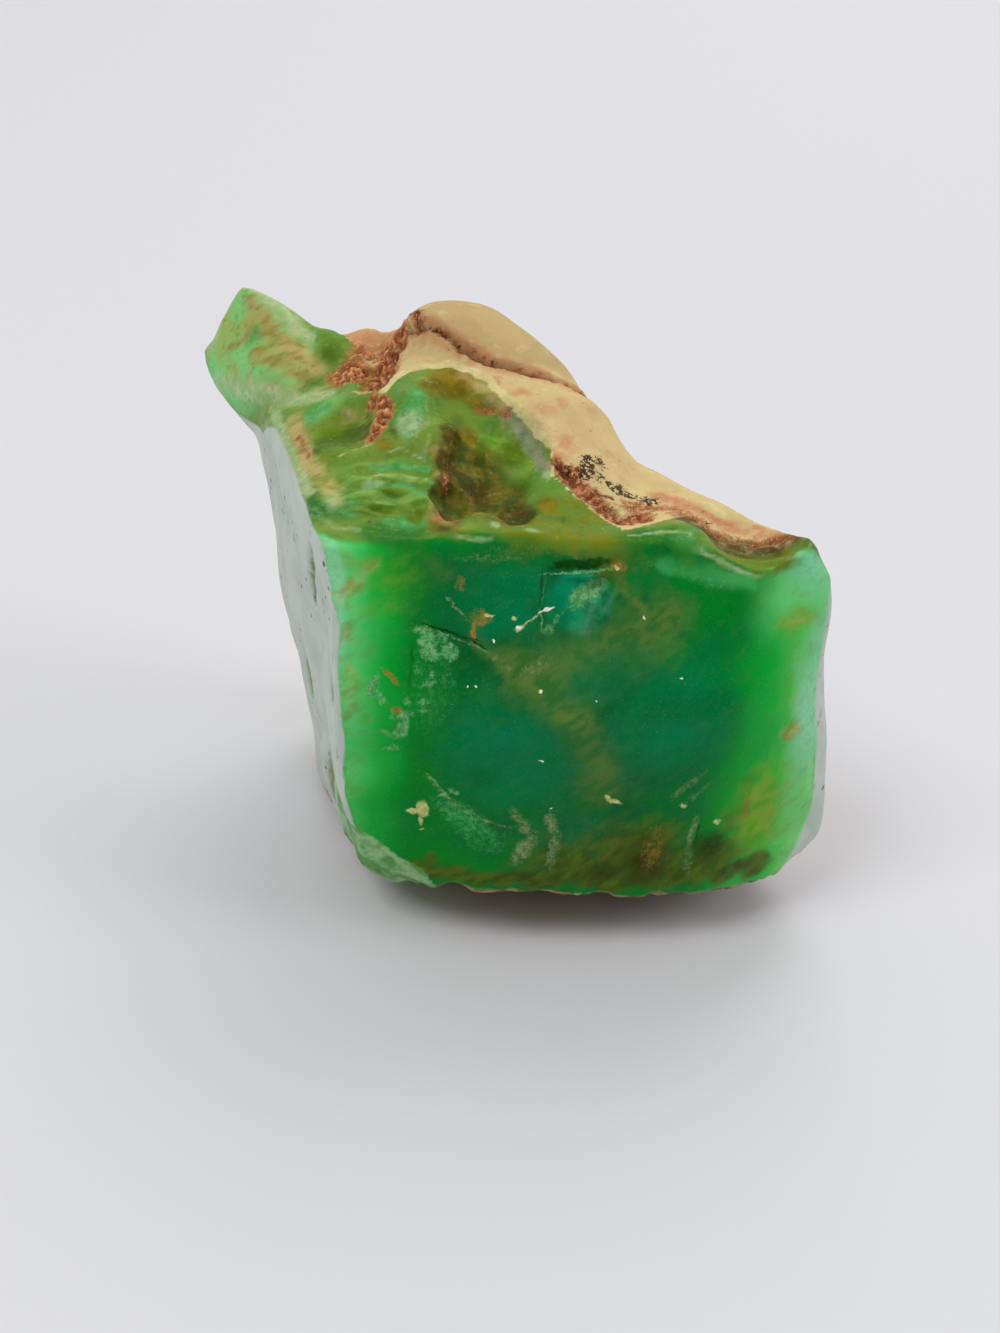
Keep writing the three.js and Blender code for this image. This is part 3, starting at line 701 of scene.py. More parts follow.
def flaws() -> tuple[Flaw, ...]:
    """The small flaws of the broken front, finer than the mesh, from first laid to last, with painted
    shadows along its steps and edges and painted glints.

    Returns:
        The kinds of flaw.
    """
    rows = (
        ("jade", (70, 168, 92), (36, 142, 70), 0.4, (
            (-0.9, 13.7, 2.9, 1.1, -36.0, 0.75), (0.6, 12.2, 2.2, 1.3, -30.0, 0.5),
            (-4.8, 26.0, 1.9, 3.2, 0.0, 0.3), (16.0, 35.0, 3.6, 0.5, -12.0, 0.5),
        )),
        ("smoke", (140, 160, 104), (78, 128, 72), 0.5, (
            (4.0, 13.9, 0.55, 1.5, 34.0, 0.55), (4.4, 11.2, 0.6, 1.7, -24.0, 0.65),
            (6.5, 14.0, 0.45, 1.1, 20.0, 0.7), (6.9, 11.4, 0.42, 1.8, -4.0, 0.65),
            (17.7, 17.6, 1.8, 0.35, 47.0, 0.35), (18.6, 16.6, 1.6, 0.25, 40.0, 0.3),
            (18.8, 12.4, 0.28, 1.6, -8.0, 0.6), (18.9, 9.6, 0.4, 1.4, 0.0, 0.35),
            (-1.0, 35.6, 2.6, 0.28, 2.0, 0.25), (2.0, 36.3, 3.0, 0.3, 2.0, 0.25),
            (-3.4, 31.9, 1.3, 0.1, -38.0, 0.6), (3.6, 27.9, 1.2, 0.5, 30.0, 0.4),
            (0.4, 28.2, 1.4, 0.3, -30.0, 0.35), (-2.6, 15.9, 2.6, 0.16, -42.0, 0.5),
            (0.6, 13.9, 1.6, 0.1, -28.0, 0.6), (2.2, 13.4, 0.9, 0.09, -6.0, 0.5),
        )),
        ("ochre", (176, 128, 56), (120, 120, 40), 0.5, (
            (-7.4, 23.5, 0.5, 0.32, -20.0, 0.8), (-8.2, 26.4, 0.8, 0.2, -36.0, 0.7),
            (-1.3, 31.3, 0.7, 0.5, 0.0, 0.6), (-1.85, 30.3, 0.16, 1.1, 4.0, 0.8),
            (-12.5, 33.0, 0.7, 0.3, 40.0, 0.6), (-3.3, 33.6, 0.4, 0.5, 0.0, 0.4),
            (9.5, 35.4, 0.6, 0.35, 0.0, 0.7), (26.5, 20.6, 0.7, 0.4, 0.0, 0.6),
            (15.6, 11.0, 0.8, 2.0, 0.0, 0.4), (23.4, 14.2, 0.4, 1.4, 0.0, 0.4),
        )),
        # Pale bruised chips, with painted light: the thin line along the window's top edge at (6.3,
        # 34.85) is a painted highlight, and the patch from (7.3, 33.2) to (8.0, 33.9) is a painted glare.
        ("bruise_and_glint", (126, 188, 124), (62, 150, 84), 0.4, (
            (-5.5, 29.3, 0.62, 1.25, 14.0, 0.85), (-4.9, 28.4, 0.55, 0.5, 0.0, 0.7),
            (-6.4, 30.2, 0.4, 0.25, 10.0, 0.8), (-3.6, 28.6, 0.72, 0.55, -10.0, 0.85),
            (-4.5, 29.6, 0.7, 0.28, -20.0, 0.6), (-5.2, 26.1, 0.7, 0.28, 8.0, 0.5),
            (-6.1, 27.2, 0.45, 0.25, 0.0, 0.4), (-4.9, 26.7, 0.14, 0.34, 0.0, 0.6),
            (-6.6, 24.4, 0.3, 0.34, 0.0, 0.4), (-5.3, 24.4, 0.38, 0.4, 0.0, 0.5),
            (-5.0, 23.7, 0.5, 0.1, 10.0, 0.45), (-9.5, 25.4, 0.42, 0.85, -14.0, 0.85),
            (-8.8, 24.5, 0.65, 0.3, -40.0, 0.65), (-7.0, 23.2, 0.85, 0.3, 14.0, 0.7),
            (-6.6, 22.8, 0.25, 0.6, 20.0, 0.6), (-6.9, 21.9, 0.5, 0.8, -24.0, 0.85),
            (-8.0, 21.3, 0.7, 0.25, -28.0, 0.6), (-7.5, 20.0, 0.7, 0.32, 20.0, 0.6),
            (-2.2, 16.5, 0.5, 0.24, -20.0, 0.9), (-3.0, 16.0, 0.5, 0.16, 20.0, 0.8),
            (-3.9, 17.4, 0.9, 0.12, -44.0, 0.6), (7.3, 33.2, 1.5, 0.7, 36.0, 0.95),
            (7.7, 33.5, 1.0, 0.45, 36.0), (8.0, 33.9, 0.5, 0.4, 0.0, 0.6),
            (3.65, 31.0, 0.1, 0.9, 12.0, 0.6), (4.4, 30.3, 0.4, 0.36, 0.0, 0.5),
            (5.0, 31.2, 0.7, 0.1, 50.0, 0.4), (6.3, 34.85, 2.75, 0.11, 6.0, 0.9),
            (3.55, 33.4, 0.07, 1.2, 0.0, 0.3), (-4.2, 29.85, 2.3, 0.1, -15.0, 0.7),
            (-1.0, 29.0, 1.0, 0.08, -22.0, 0.5),
        )),
        ("cream", (222, 224, 156), (190, 200, 120), 0.3, (
            (-4.55, 14.3, 0.5, 0.85, 4.0, 0.95), (-5.4, 13.9, 0.45, 0.26, 0.0, 0.9),
            (-4.7, 12.9, 0.18, 0.5, 0.0, 0.9), (-4.4, 12.0, 0.14, 0.14, 0.0, 0.7),
            (11.5, 16.1, 0.75, 0.22, -24.0, 0.9), (10.9, 16.5, 0.22, 0.4, 20.0, 0.8),
            (17.7, 15.5, 0.26, 0.26, 0.0, 0.6), (21.0, 13.1, 0.32, 0.3, 0.0, 0.7),
            (1.95, 30.7, 0.4, 0.22, 20.0, 0.8), (2.9, 31.2, 0.6, 0.1, 24.0, 0.6),
            (1.4, 31.35, 0.26, 0.14, -20.0, 0.7), (-0.7, 31.5, 0.4, 0.12, 6.0, 0.7),
            (4.2, 26.1, 0.16, 0.12, 0.0, 0.8), (9.4, 35.3, 0.22, 0.16, 0.0, 0.8),
        )),
        # Painted shadow: dark lines and patches along the face's steps and edges, and a dark lens above
        # the window's top edge.
        ("painted_shadow", (2, 62, 10), (10, 74, 6), 0.35, (
            (6.3, 35.45, 2.5, 0.36, 5.0, 0.95), (-4.0, 30.2, 2.6, 0.11, -14.0, 0.9),
            (-1.4, 29.3, 0.9, 0.1, -26.0, 0.8), (-6.6, 27.0, 0.14, 2.2, -2.0, 0.4),
            (20.4, 11.0, 1.7, 1.3, 0.0, 0.5), (19.3, 12.0, 0.12, 1.8, -4.0, 0.6),
            (3.4, 33.6, 0.14, 1.4, 0.0, 0.5),
        )),
        # Painted glints: tiny white specks of reflected light on the face.
        ("painted_glint", (255, 255, 240), (236, 246, 224), 0.3, (
            (4.15, 31.85, 0.5, 0.11, 14.0), (3.5, 31.6, 0.22, 0.08, 20.0), (1.9, 30.75, 0.22, 0.1, 10.0),
            (-0.1, 29.7, 0.08, 0.2, 30.0), (4.25, 26.1, 0.1, 0.08), (4.9, 20.3, 0.3, 0.08, -16.0),
            (15.8, 27.5, 0.1, 0.08), (8.9, 25.7, 0.07, 0.07), (-1.8, 26.0, 0.09, 0.09),
            (-1.1, 26.0, 0.1, 0.09), (12.1, 31.9, 0.14, 0.08), (6.2, 15.6, 0.12, 0.06),
        )),
    )
    return tuple(
        Flaw(name, linear(*colour), linear(*second), tuple(Chip(*chip) for chip in chips), soft)
        for name, colour, second, soft, chips in rows
    )


@dataclass(frozen=True)
class Relief:
    """How deep, high or wide the carving is, in millimetres."""

    crack_depth: float = 0.6
    crack_width: float = 0.32
    lip_height: float = 0.45
    lip_reach: float = 2.6
    crumb_height: float = 0.42
    crumb_size: float = 0.7
    rust_height: float = 0.16
    ledge_cut: float = 0.35
    lump_height: float = 0.4
    lump_size: float = 2.1
    dip_height: float = 0.14
    band_height: float = 0.13
    shell_height: float = 0.07
    step_depth: float = 0.2
    arc_depth: float = 0.22
    chip_depth: float = 0.07
    break_height: float = 0.035
    pit_depth: float = 0.3
    fold_height: float = 0.16
    slot_depth: float = 0.5
    bark_lump: float = 0.45
    bark_grain: float = 0.3
    bark_swell: float = 0.45
    bark_pit: float = 0.5
    rind_height: float = 0.05
    rim_bite: float = 0.28
    knob_rise: float = 1.9
    shoulder_rise: float = 1.3
    corner_swell: Place = (-0.1, -0.25, -1.55)
    notch_height: float = 0.7


@dataclass
class Surface:
    """A mesh of quads as plain arrays, in millimetres."""

    places: np.ndarray
    quads: np.ndarray
    pairs: np.ndarray = field(init=False)
    edges: np.ndarray = field(init=False)

    def __post_init__(self) -> None:
        """Finds which faces share an edge."""
        ring = np.stack([self.quads, np.roll(self.quads, -1, axis=1)], axis=2)
        edges = np.sort(ring.reshape(-1, 2), axis=1)
        owner = np.repeat(np.arange(len(self.quads)), self.quads.shape[1])
        key = edges[:, 0] * len(self.places) + edges[:, 1]
        order = np.argsort(key, kind="stable")
        same = np.nonzero(key[order][1:] == key[order][:-1])[0]
        self.pairs = np.stack([owner[order][same], owner[order][same + 1]], axis=1)
        self.edges = edges[order][same]

    def face_normals(self) -> tuple[np.ndarray, np.ndarray]:
        """Measures each face.

        Returns:
            The normal and the area of each face.
        """
        corner = self.places[self.quads]
        cross = np.cross(corner[:, 2] - corner[:, 0], corner[:, 3] - corner[:, 1])
        return unit(cross), np.linalg.norm(cross, axis=1) / 2

    def gather(self, per_face: np.ndarray) -> np.ndarray:
        """Adds what each face holds to its corners.

        Args:
            per_face: One row for each face.

        Returns:
            One row for each vertex.
        """
        count, corners = len(self.places), self.quads.ravel()
        spread = np.repeat(per_face, self.quads.shape[1], axis=0)
        columns = [np.bincount(corners, spread[:, i], count) for i in range(spread.shape[1])]
        return np.stack(columns, axis=1)

    def normals(self) -> np.ndarray:
        """The normal at each vertex."""
        flat, area = self.face_normals()
        return unit(self.gather(flat * area[:, None]))

    def averaged(self, values: np.ndarray, rounds: int) -> np.ndarray:
        """Values evened out over their neighbours.

        Args:
            values: One row for each vertex.
            rounds: How often each vertex takes the mean of its neighbours.

        Returns:
            The evened values.
        """
        count = len(self.places)
        ends = np.concatenate([self.edges[:, 0], self.edges[:, 1]])
        others = np.concatenate([self.edges[:, 1], self.edges[:, 0]])
        degree = np.maximum(np.bincount(ends, minlength=count), 1)
        rows = values.astype(float)
        for _ in range(rounds):
            sums = [np.bincount(ends, rows[others, i], count) for i in range(rows.shape[1])]
            rows = 0.5 * rows + 0.5 * np.stack(sums, axis=1) / degree[:, None]
        return rows

    def bend(self, rounds: int) -> np.ndarray:
        """How far each vertex stands out from its surroundings, in millimetres."""
        away = self.places - self.averaged(self.places, rounds)
        return (away * self.normals()).sum(axis=1)

    def relax(self, rounds: int, keen: float, settle: int) -> None:
        """Flattens facets into broken planes and keeps the ridges between them.

        Args:
            rounds: How often the faces take on their neighbours' direction.
            keen: How different two faces may be and still blend.
            settle: How often the vertices follow their faces.
        """
        flat, area = self.face_normals()
        here = np.concatenate([self.pairs[:, 0], self.pairs[:, 1]])
        there = np.concatenate([self.pairs[:, 1], self.pairs[:, 0]])
        for _ in range(rounds):
            apart = ((flat[here] - flat[there]) ** 2).sum(axis=1)
            share = np.exp(-apart / (2 * keen**2)) * area[there]
            rows = [np.bincount(here, share * flat[there, i], len(flat)) for i in range(3)]
            flat = unit(flat * area[:, None] + np.stack(rows, axis=1))
        uses = np.bincount(self.quads.ravel(), minlength=len(self.places))[:, None]
        outer = np.einsum("fi,fj->fij", flat, flat).reshape(-1, 9)
        spread = self.gather(outer).reshape(-1, 3, 3)
        for _ in range(settle):
            reach = (flat * self.places[self.quads].mean(axis=1)).sum(axis=1)
            pull = self.gather(flat * reach[:, None])
            self.places += (pull - np.einsum("vij,vj->vi", spread, self.places)) / uses


@dataclass
class RawStone:
    """The stone: its worked surface, its zones and its finish."""

    weld_gap: float = 0.001
    smooth_levels: int = 2
    voxel: float = 0.352
    # The angles between faces at which an edge begins to stay sharp, and is fully sharp.
    crease_from: float = 20.0
    crease_to: float = 42.0
    # How far the surroundings reach, in rounds of averaging: of a direction, a rim and a hollow.
    even_rounds: int = 14
    near_rounds: int = 6
    far_rounds: int = 70
    # Which way the two sides look, and where in plan each one's edge stands.
    left_face: Place = (-0.93, -0.36, 0.0)
    left_edge: Spot = (-12.7, -21.6)
    right_face: Place = (0.95, -0.31, 0.0)
    right_edge: Spot = (28.6, -12.4)
    # What the ledge's bands and the face's shells run round, and the corner's facet, across and up.
    band_middle: Place = (-10.4, -21.0, 33.0)
    shell_middle: Place = (-6.0, -22.0, 2.0)
    corner_facet: tuple[Spot, ...] = (
        (-12.0, 11.6), (-8.3, 9.9), (-6.3, 8.4), (-4.2, 7.6), (-2.6, 5.4),
    )
    relief: Relief = field(default_factory=Relief)
    grain: Grain = field(default_factory=lambda: Grain(COARSE_SEED))
    fine: Grain = field(default_factory=lambda: Grain(FINE_SEED))
    masks: dict[str, np.ndarray] = field(default_factory=dict)
    place: np.ndarray = field(init=False)
    loose: np.ndarray = field(init=False)
    normal: np.ndarray = field(init=False)
    grit: np.ndarray = field(init=False)
    raised: np.ndarray = field(init=False)

    def build(self, solid: bpy.types.Object) -> bpy.types.Object:
        """Makes the dressed stone.

        Args:
            solid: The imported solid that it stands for.

        Returns:
            The new piece.
        """
        surface = self.worked(solid)
        self.sort_ground(surface)
        self.carve(surface)
        low, high = (np.array(corner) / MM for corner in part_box(NODE))
        surface.places = np.clip(surface.places, low, high)
        self.masks = self.paint(surface)
        return self.piece(surface)

    def worked(self, solid: bpy.types.Object) -> Surface:
        """The solid's facets, rounded where they are shallow and cut into even quads.

        Args:
            solid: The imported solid.

        Returns:
            The surface that the rest is carved from.
        """
        mesh = solid.data.copy()
        mesh.transform(Matrix.Scale(1 / MM, 4))
        work = bpy.data.objects.new("work", mesh)
        bpy.context.scene.collection.objects.link(work)
        work.modifiers.new("weld", "WELD").merge_threshold = self.weld_gap
        self.apply(work)
        self.crease(work.data)
        smooth = work.modifiers.new("smooth", "SUBSURF")
        smooth.levels = smooth.render_levels = self.smooth_levels
        remesh = work.modifiers.new("remesh", "REMESH")
        remesh.mode, remesh.voxel_size = "VOXEL", self.voxel
        self.apply(work)
        made = work.data
        places = np.empty(len(made.vertices) * 3)
        made.vertices.foreach_get("co", places)
        quads = np.empty(len(made.loops), np.int64)
        made.loops.foreach_get("vertex_index", quads)
        bpy.data.objects.remove(work)
        surface = Surface(places.reshape(-1, 3), quads.reshape(-1, 4))
        LOG.info("worked surface: %d quads", len(surface.quads))
        surface.relax(rounds=26, keen=0.34, settle=8)
        return surface

    @staticmethod
    def apply(work: bpy.types.Object) -> None:
        """Makes an object's modifiers part of its mesh.

        Args:
            work: The object.
        """
        graph = bpy.context.evaluated_depsgraph_get()
        made = bpy.data.meshes.new_from_object(work.evaluated_get(graph), depsgraph=graph)
        work.modifiers.clear()
        work.data = made

    def crease(self, mesh: bpy.types.Mesh) -> None:
        """Keeps the real breaks sharp, by the angle between their faces.

        Args:
            mesh: The welded mesh.
        """
        owners: dict[int, list[int]] = {}
        for face in mesh.polygons:
            for loop in face.loop_indices:
                owners.setdefault(mesh.loops[loop].edge_index, []).append(face.index)
        sharp = np.zeros(len(mesh.edges))
        for edge, faces in owners.items():
            if len(faces) == 2:
                first, second = (mesh.polygons[i].normal for i in faces)
                turn = math.degrees(first.angle(second, 0.0))
                share = (turn - self.crease_from) / (self.crease_to - self.crease_from)
                sharp[edge] = min(max(share, 0.0), 1.0)
        kept = mesh.attributes.new("crease_edge", "FLOAT", "EDGE")
        kept.data.foreach_set("value", sharp)

    def sort_ground(self, surface: Surface) -> None:
        """Tells face, top, rind, skin, back and underside apart, and stores their masks.

        Args:
            surface: The relaxed surface.
        """
        place = self.place = surface.places
        normal = self.normal = unit(surface.averaged(surface.normals(), self.even_rounds))
        wander = self.grain.fractal(place, 3.0)
        x, y, z = place.T
        line = np.array(RIND_LINE)
        behind = y - np.interp(x, line[:, 0], line[:, 1])
        front = eased(-normal[:, 1], 0.25, 0.6) * eased(z, 37.6, 36.9) * eased(y, -7.5, -9.5)
        brow = eased(normal[:, 2], 0.2, 0.5) * eased(z, 33.0, 35.5)
        down = eased(-normal[:, 2], 0.35, 0.75) * eased(z, 15.0, 9.0)
        back = eased(normal[:, 1] + 0.25 * wander, 0.1, 0.45)
        side_top = 36.4 - 3.4 * eased(y, 4.0, 12.0)
        skin = eased(normal @ np.array(self.left_face), 0.62, 0.8)
        skin *= eased(z, side_top + 0.5, side_top - 0.4) * eased(x, -8.0, -10.0) * (1.0 - back)
        right = eased(normal @ np.array(self.right_face), 0.62, 0.82)
        right *= eased(x, 27.2, 28.6) * eased(y, -12.6, -11.2)
        rind = eased(behind + 0.15 * wander, -0.1, 0.25) * np.maximum(brow, eased(z, 36.5, 38.5))
        rind = np.maximum(rind, back)
        rind = np.maximum(rind, eased(x, 20.0, 28.0) * eased(y, -6.0, 2.0) * (1 - right))
        rind *= 1.0 - eased(y, -4.0, -7.0) * eased(x, 7.0, 5.0) * eased(behind, 1.0, -0.2)
        self.masks = {
            "face": front * (1.0 - skin),
            "top": np.clip(1.0 - rind - skin - down, 0.0, 1.0),
            "skin": np.clip(np.maximum(skin, right), 0.0, 1.0),
            "rind": rind,
            "under": down,
            "any": np.ones(len(place)),
        }

    def marked(self, marking: Marking, places: np.ndarray) -> np.ndarray:
        """The mask of one marking.

        Args:
            marking: What is drawn.
            places: Where, in millimetres.

        Returns:
            Its cover of each place, from 0 to 1.
        """
        moved = self.grain.drift(places, marking.bend, marking.wander)
        cover = np.zeros(len(places))
        for mark in marking.marks:
            seen = mark.cover(moved)
            endless = mark.flat if isinstance(mark, Streak) else not mark.size[1]
            if endless and marking.ground is Ground.ANY:
                seen = seen * self.masks["face"]
            cover = np.maximum(cover, seen)
        return cover * self.masks[marking.ground.value]

    def named(self, name: str) -> np.ndarray:
        """The mask of the marking with a name, on the surface before it is carved."""
        return self.marked(next(one for one in markings() if one.name == name), self.place)

    def carve(self, surface: Surface) -> None:
        """Cuts the cracks, ledges, crumbs, pits and chipped rims.

        Args:
            surface: The relaxed surface, whose places are moved.
        """
        place, relief, masks = self.place, self.relief, self.masks
        self.loose = self.grain.drift(place, 2.2, 0.45)
        lift = self.crack_lift() + self.rust_lift() + self.hollow_lift()
        lift += self.face_lift() + self.skin_lift() + self.bark_lift()
        rim = eased(surface.bend(self.near_rounds), 0.10, 0.3) * np.maximum(masks["face"], masks["top"])
        lift -= relief.rim_bite * rim * np.clip(self.fine.fractal(place, 1.5) + 0.15, 0.0, 1.0)
        settled = eased(place[:, 2], 0.05, 1.2)
        carved = place + surface.normals() * (lift * settled)[:, None]

        # The knob behind the rusty pocket and the dome's left shoulder stand higher.
        knob = Dab((-15.6, 15.6, 41.4), (4.4, 4.0, 3.4), 0.8).cover(place)
        shoulder = Dab((-9.6, 10.0, 45.2), (5.0, 4.6, 3.6), 0.85).cover(place)
        self.raised = np.zeros_like(carved)
        self.raised[:, 2] = relief.knob_rise * knob + relief.shoulder_rise * shoulder
        carved += self.raised

        # The low left corner swells outward, and the low edge of the face is notched.
        corner = Dab((-6.4, -18.8, 6.2), (5.6, 4.4, 3.4), 0.9).cover(place)
        carved += corner[:, None] * np.array(relief.corner_swell)
        low_edge = eased(place[:, 2], 9.5, 7.5) * eased(place[:, 1], -11.0, -14.0)
        notch = self.grain.fractal(place * np.array((1.0, 0.3, 0.3)), 2.4)
        carved[:, 2] += relief.notch_height * notch * low_edge * settled
        surface.places = carved

    def crack_lift(self) -> np.ndarray:
        """The crack between dome and slab, with the dome's lip standing over it.

        Returns:
            How far each vertex moves out, in millimetres.
        """
        place, relief = self.place, self.relief
        lift = np.zeros(len(place))
        for line in (CRACK, SIDE_CRACK):
            gap = Streak(line, 1.0, rise=CRACK_RISE).gap(self.loose)
            lift -= relief.crack_depth * eased(gap, relief.crack_width, 0.0)
        crack = np.array(CRACK)
        above = place[:, 1] - np.interp(place[:, 0], crack[:, 0], crack[:, 1])
        lip = eased(above, 0.1, 0.7) * np.exp(-np.clip(above, 0.0, None) / relief.lip_reach)
        near = eased(Streak(CRACK, 1.0).gap(place), 5.0, 2.0)
        return lift + relief.lip_height * lip * near * self.masks["rind"]

    def rust_lift(self) -> np.ndarray:
        """Crumbs in the rusty pockets and under the slab.

        Returns:
            How far each vertex moves out, in millimetres.
        """
        place, relief, fine = self.place, self.relief, self.fine
        first, second = fine.crumbs(self.grain.drift(place, 1.2, 0.3), relief.crumb_size)
        self.grit = eased(second - first, 0.02, 0.5) + 0.3 * fine.fractal(place, 0.8)
        lumps = self.grit - 0.6 + 0.5 * fine.fractal(place, 2.6)
        lift = relief.crumb_height * lumps * self.named("crumb")
        lift += relief.rust_height * (self.grit - 0.5) * self.named("iron")
        ledge = eased(Streak(RUST_LEDGE, 1.0).gap(self.loose), 0.9, 0.2)
        return lift - relief.ledge_cut * ledge

    def hollow_lift(self) -> np.ndarray:
        """The hollow's lumps, the layered dip and the banded ledge.

        Returns:
            How far each vertex moves out, in millimetres.
        """
        place, relief, grain = self.place, self.relief, self.grain
        hollow = Dab((-2.2, -5.6, 39.0), (5.4, 9.0, 4.4), 0.4).cover(place)
        lumps = 0.5 - grain.crumbs(place, relief.lump_size)[0] + 0.35 * self.fine.fractal(place, 1.1)
        lift = relief.lump_height * lumps * hollow * self.masks["top"]
        dip = Dab((21.0, -10.4, 36.0), (5.0, 2.6, 1.6), 0.5).cover(place)
        lift += relief.dip_height * dip * np.sin(place[:, 1] * 5.2 + 2.0 * grain.waves(place, 4.0))
        ledge = Dab((-10.6, -10.0, 38.0), (4.6, 4.6, 2.0), 0.5).cover(place)
        rings = np.linalg.norm(place - np.array(self.band_middle), axis=1)
        return lift + relief.band_height * ledge * np.sin(rings * 3.4 + 2.0 * grain.waves(place, 3.0))

    def face_lift(self) -> np.ndarray:
        """The broad shells of the break, its step, its arc and its bruised chips.

        Returns:
            How far each vertex moves out, in millimetres.
        """
        place, relief, loose = self.place, self.relief, self.loose
        rings = np.linalg.norm(place - np.array(self.shell_middle), axis=1)
        lift = relief.shell_height * np.sin(rings * 0.95 + 1.6 * self.grain.waves(place, 8.0))
        lift -= relief.step_depth * eased(face_line(*FACE_STEP, width=1.0).gap(loose), 0.5, 0.0)
        inside = Dab((0.0, -22.0, 11.0), (4.8, 6.0, 5.2), 0.12).cover(loose)
        arc = face_line(*FACE_ARC, width=1.0).gap(loose)
        lift -= relief.arc_depth * inside * eased(arc, 3.6, 0.2)
        for flaw in flaws():
            if flaw.name in ("bruise_and_glint", "cream"):
                for chip in flaw.chips:
                    lift -= relief.chip_depth * chip.dab().cover(loose)
        lift += relief.break_height * self.fine.fractal(place, 1.6)
        return lift * self.masks["face"]

    def skin_lift(self) -> np.ndarray:
        """The skin's shallow folds, its small pits in rows and its slots.

        Returns:
            How far each vertex moves out, in millimetres.
        """
        place, relief = self.place, self.relief
        along = place @ np.array((0.22, -0.6, -0.75))
        over = place @ np.array((0.3, 0.7, -0.62))
        rows = np.stack([over * 3.2, along * 0.75, place[:, 0]], axis=1)
        pits = eased(self.fine.fractal(rows, 1.8, 2), 0.42, 0.62)
        pits *= eased(self.grain.waves(place, 5.0), -0.1, 0.35)
        folds = self.grain.fractal(place * np.array((1.0, 1.0, 0.45)), 3.6)
        lift = (relief.fold_height * folds - relief.pit_depth * pits) * self.masks["skin"]
        return lift - relief.slot_depth * self.named("slot")

    def bark_lift(self) -> np.ndarray:
        """The grainy, lumpy and pocked back and underside, and the rind's faint grain.

        Returns:
            How far each vertex moves out, in millimetres.
        """
        place, relief, grain, fine = self.place, self.relief, self.grain, self.fine
        bark = np.maximum(eased(self.normal[:, 1], 0.35, 0.75), self.masks["under"])
        lift = relief.bark_lump * (0.5 - grain.crumbs(place, 3.4)[0])
        lift += relief.bark_grain * fine.fractal(place, 1.4)
        lift += relief.bark_swell * grain.fractal(place + 9.0, 5.0)
        lift -= relief.bark_pit * eased(grain.fractal(place + 31.0, 2.4, 2), 0.35, 0.7)
        return lift * bark + relief.rind_height * fine.fractal(place, 1.0) * self.masks["rind"]

    def paint(self, surface: Surface) -> dict[str, np.ndarray]:
        """Works out the mask of every zone on the finished surface, with the masks of painted glow, shade
        and glints.

        Args:
            surface: The carved surface.

        Returns:
            The masks by name.
        """
        place, ground = surface.places, self.masks
        drawn = {one.name: self.marked(one, place - self.raised) for one in markings()}
        drawn |= {name: ground[name] for name in ("face", "skin", "rind", "under")}
        drawn["top"] = ground["top"] * (1.0 - ground["face"])
        drawn["across"], drawn["up"] = place[:, 0], place[:, 2]
        drawn["grit"] = eased(self.grit, 0.25, 0.95)
        rings = np.linalg.norm(self.grain.drift(place, 4.0, 1.2) - np.array(self.band_middle), axis=1)
        ledge = Dab((-11.0, -9.6, 38.0), (5.2, 5.4, 2.4), 0.6).cover(place)
        drawn["band"] = eased(np.sin(rings * 3.0), 0.1, 0.8) * ledge * ground["top"]
        back = drawn["back"] = eased(self.normal[:, 1], 0.0, 0.6)
        drawn["crust"] = back * eased(self.grain.fractal(place + 12.0, 9.0), 0.05, 0.5)
        drawn["window"] = back * eased(self.grain.fractal(place + 47.0, 7.0), 0.5, 0.72)
        self.paint_glow(place, drawn)
        self.paint_rims(surface, drawn)
        return drawn

    def paint_glow(self, place: np.ndarray, drawn: dict[str, np.ndarray]) -> None:
        """Paints the glow of light through the thin sides of the broken front: painted light, lighter and
        paler towards each side.

        Args:
            place: The place of each vertex.
            drawn: The masks so far.
        """
        face = self.masks["face"]
        loose = self.grain.drift(place, 6.0, 1.1)[:, :2]
        from_left, from_right = (
            -(loose - np.array(edge)) @ np.array(way[:2])
            for edge, way in ((self.left_edge, self.left_face), (self.right_edge, self.right_face))
        )
        left_glow = eased(from_left, 4.4, -0.6) * face
        right_glow = 0.95 * eased(from_right, 4.4, -0.6) * face
        # Painted light: the glow through the thin left side joins the mint zones, and the right side and
        # a hazy veil over both get their own masks.
        drawn["mint"] = np.maximum(drawn["mint"], left_glow)
        drawn["fresh"] = right_glow
        drawn["husk"] = 0.5 * np.maximum(left_glow, right_glow)
        # Painted light: a brighter green within some 8 mm of each side, and paler rims and the upper
        # right corner closest to them.
        bright = np.maximum(eased(from_left, 8.0, 1.4), eased(from_right, 8.2, 1.2))
        drawn["bright"] = bright * face
        aloft = 0.3 + 0.7 * eased(place[:, 2], 13.0, 24.0)
        pale = np.maximum(0.7 * eased(from_left, 0.9, -0.3), aloft * eased(from_right, 2.5, 0.3))
        corner = Dab((27.4, -12.0, 36.6), (4.6, 4.6, 4.4), 0.95).cover(place)
        drawn["pale"] = np.maximum(pale, 0.9 * corner) * face

    def paint_rims(self, surface: Surface, drawn: dict[str, np.ndarray]) -> None:
        """Adds the rims, the low hem, the corner's facet, and the painted shade in creases and in the
        hollows between lumps.

        Args:
            surface: The carved surface.
            drawn: The masks so far.
        """
        x, y, z = surface.places.T
        bend = surface.bend(self.near_rounds)
        low = eased(z, 10.5, 9.0) * eased(y, -11.0, -13.0)
        broken = np.clip(self.masks["face"] + self.masks["top"], 0.0, 1.0)
        edge = eased(bend, 0.07, 0.18) * broken
        drawn["rim"] = edge * (1.0 - 0.5 * self.masks["rind"]) * (1.0 - low)
        drawn["hem"] = eased(bend, 0.05, 0.15) * low * eased(self.normal[:, 2], -0.75, -0.4)
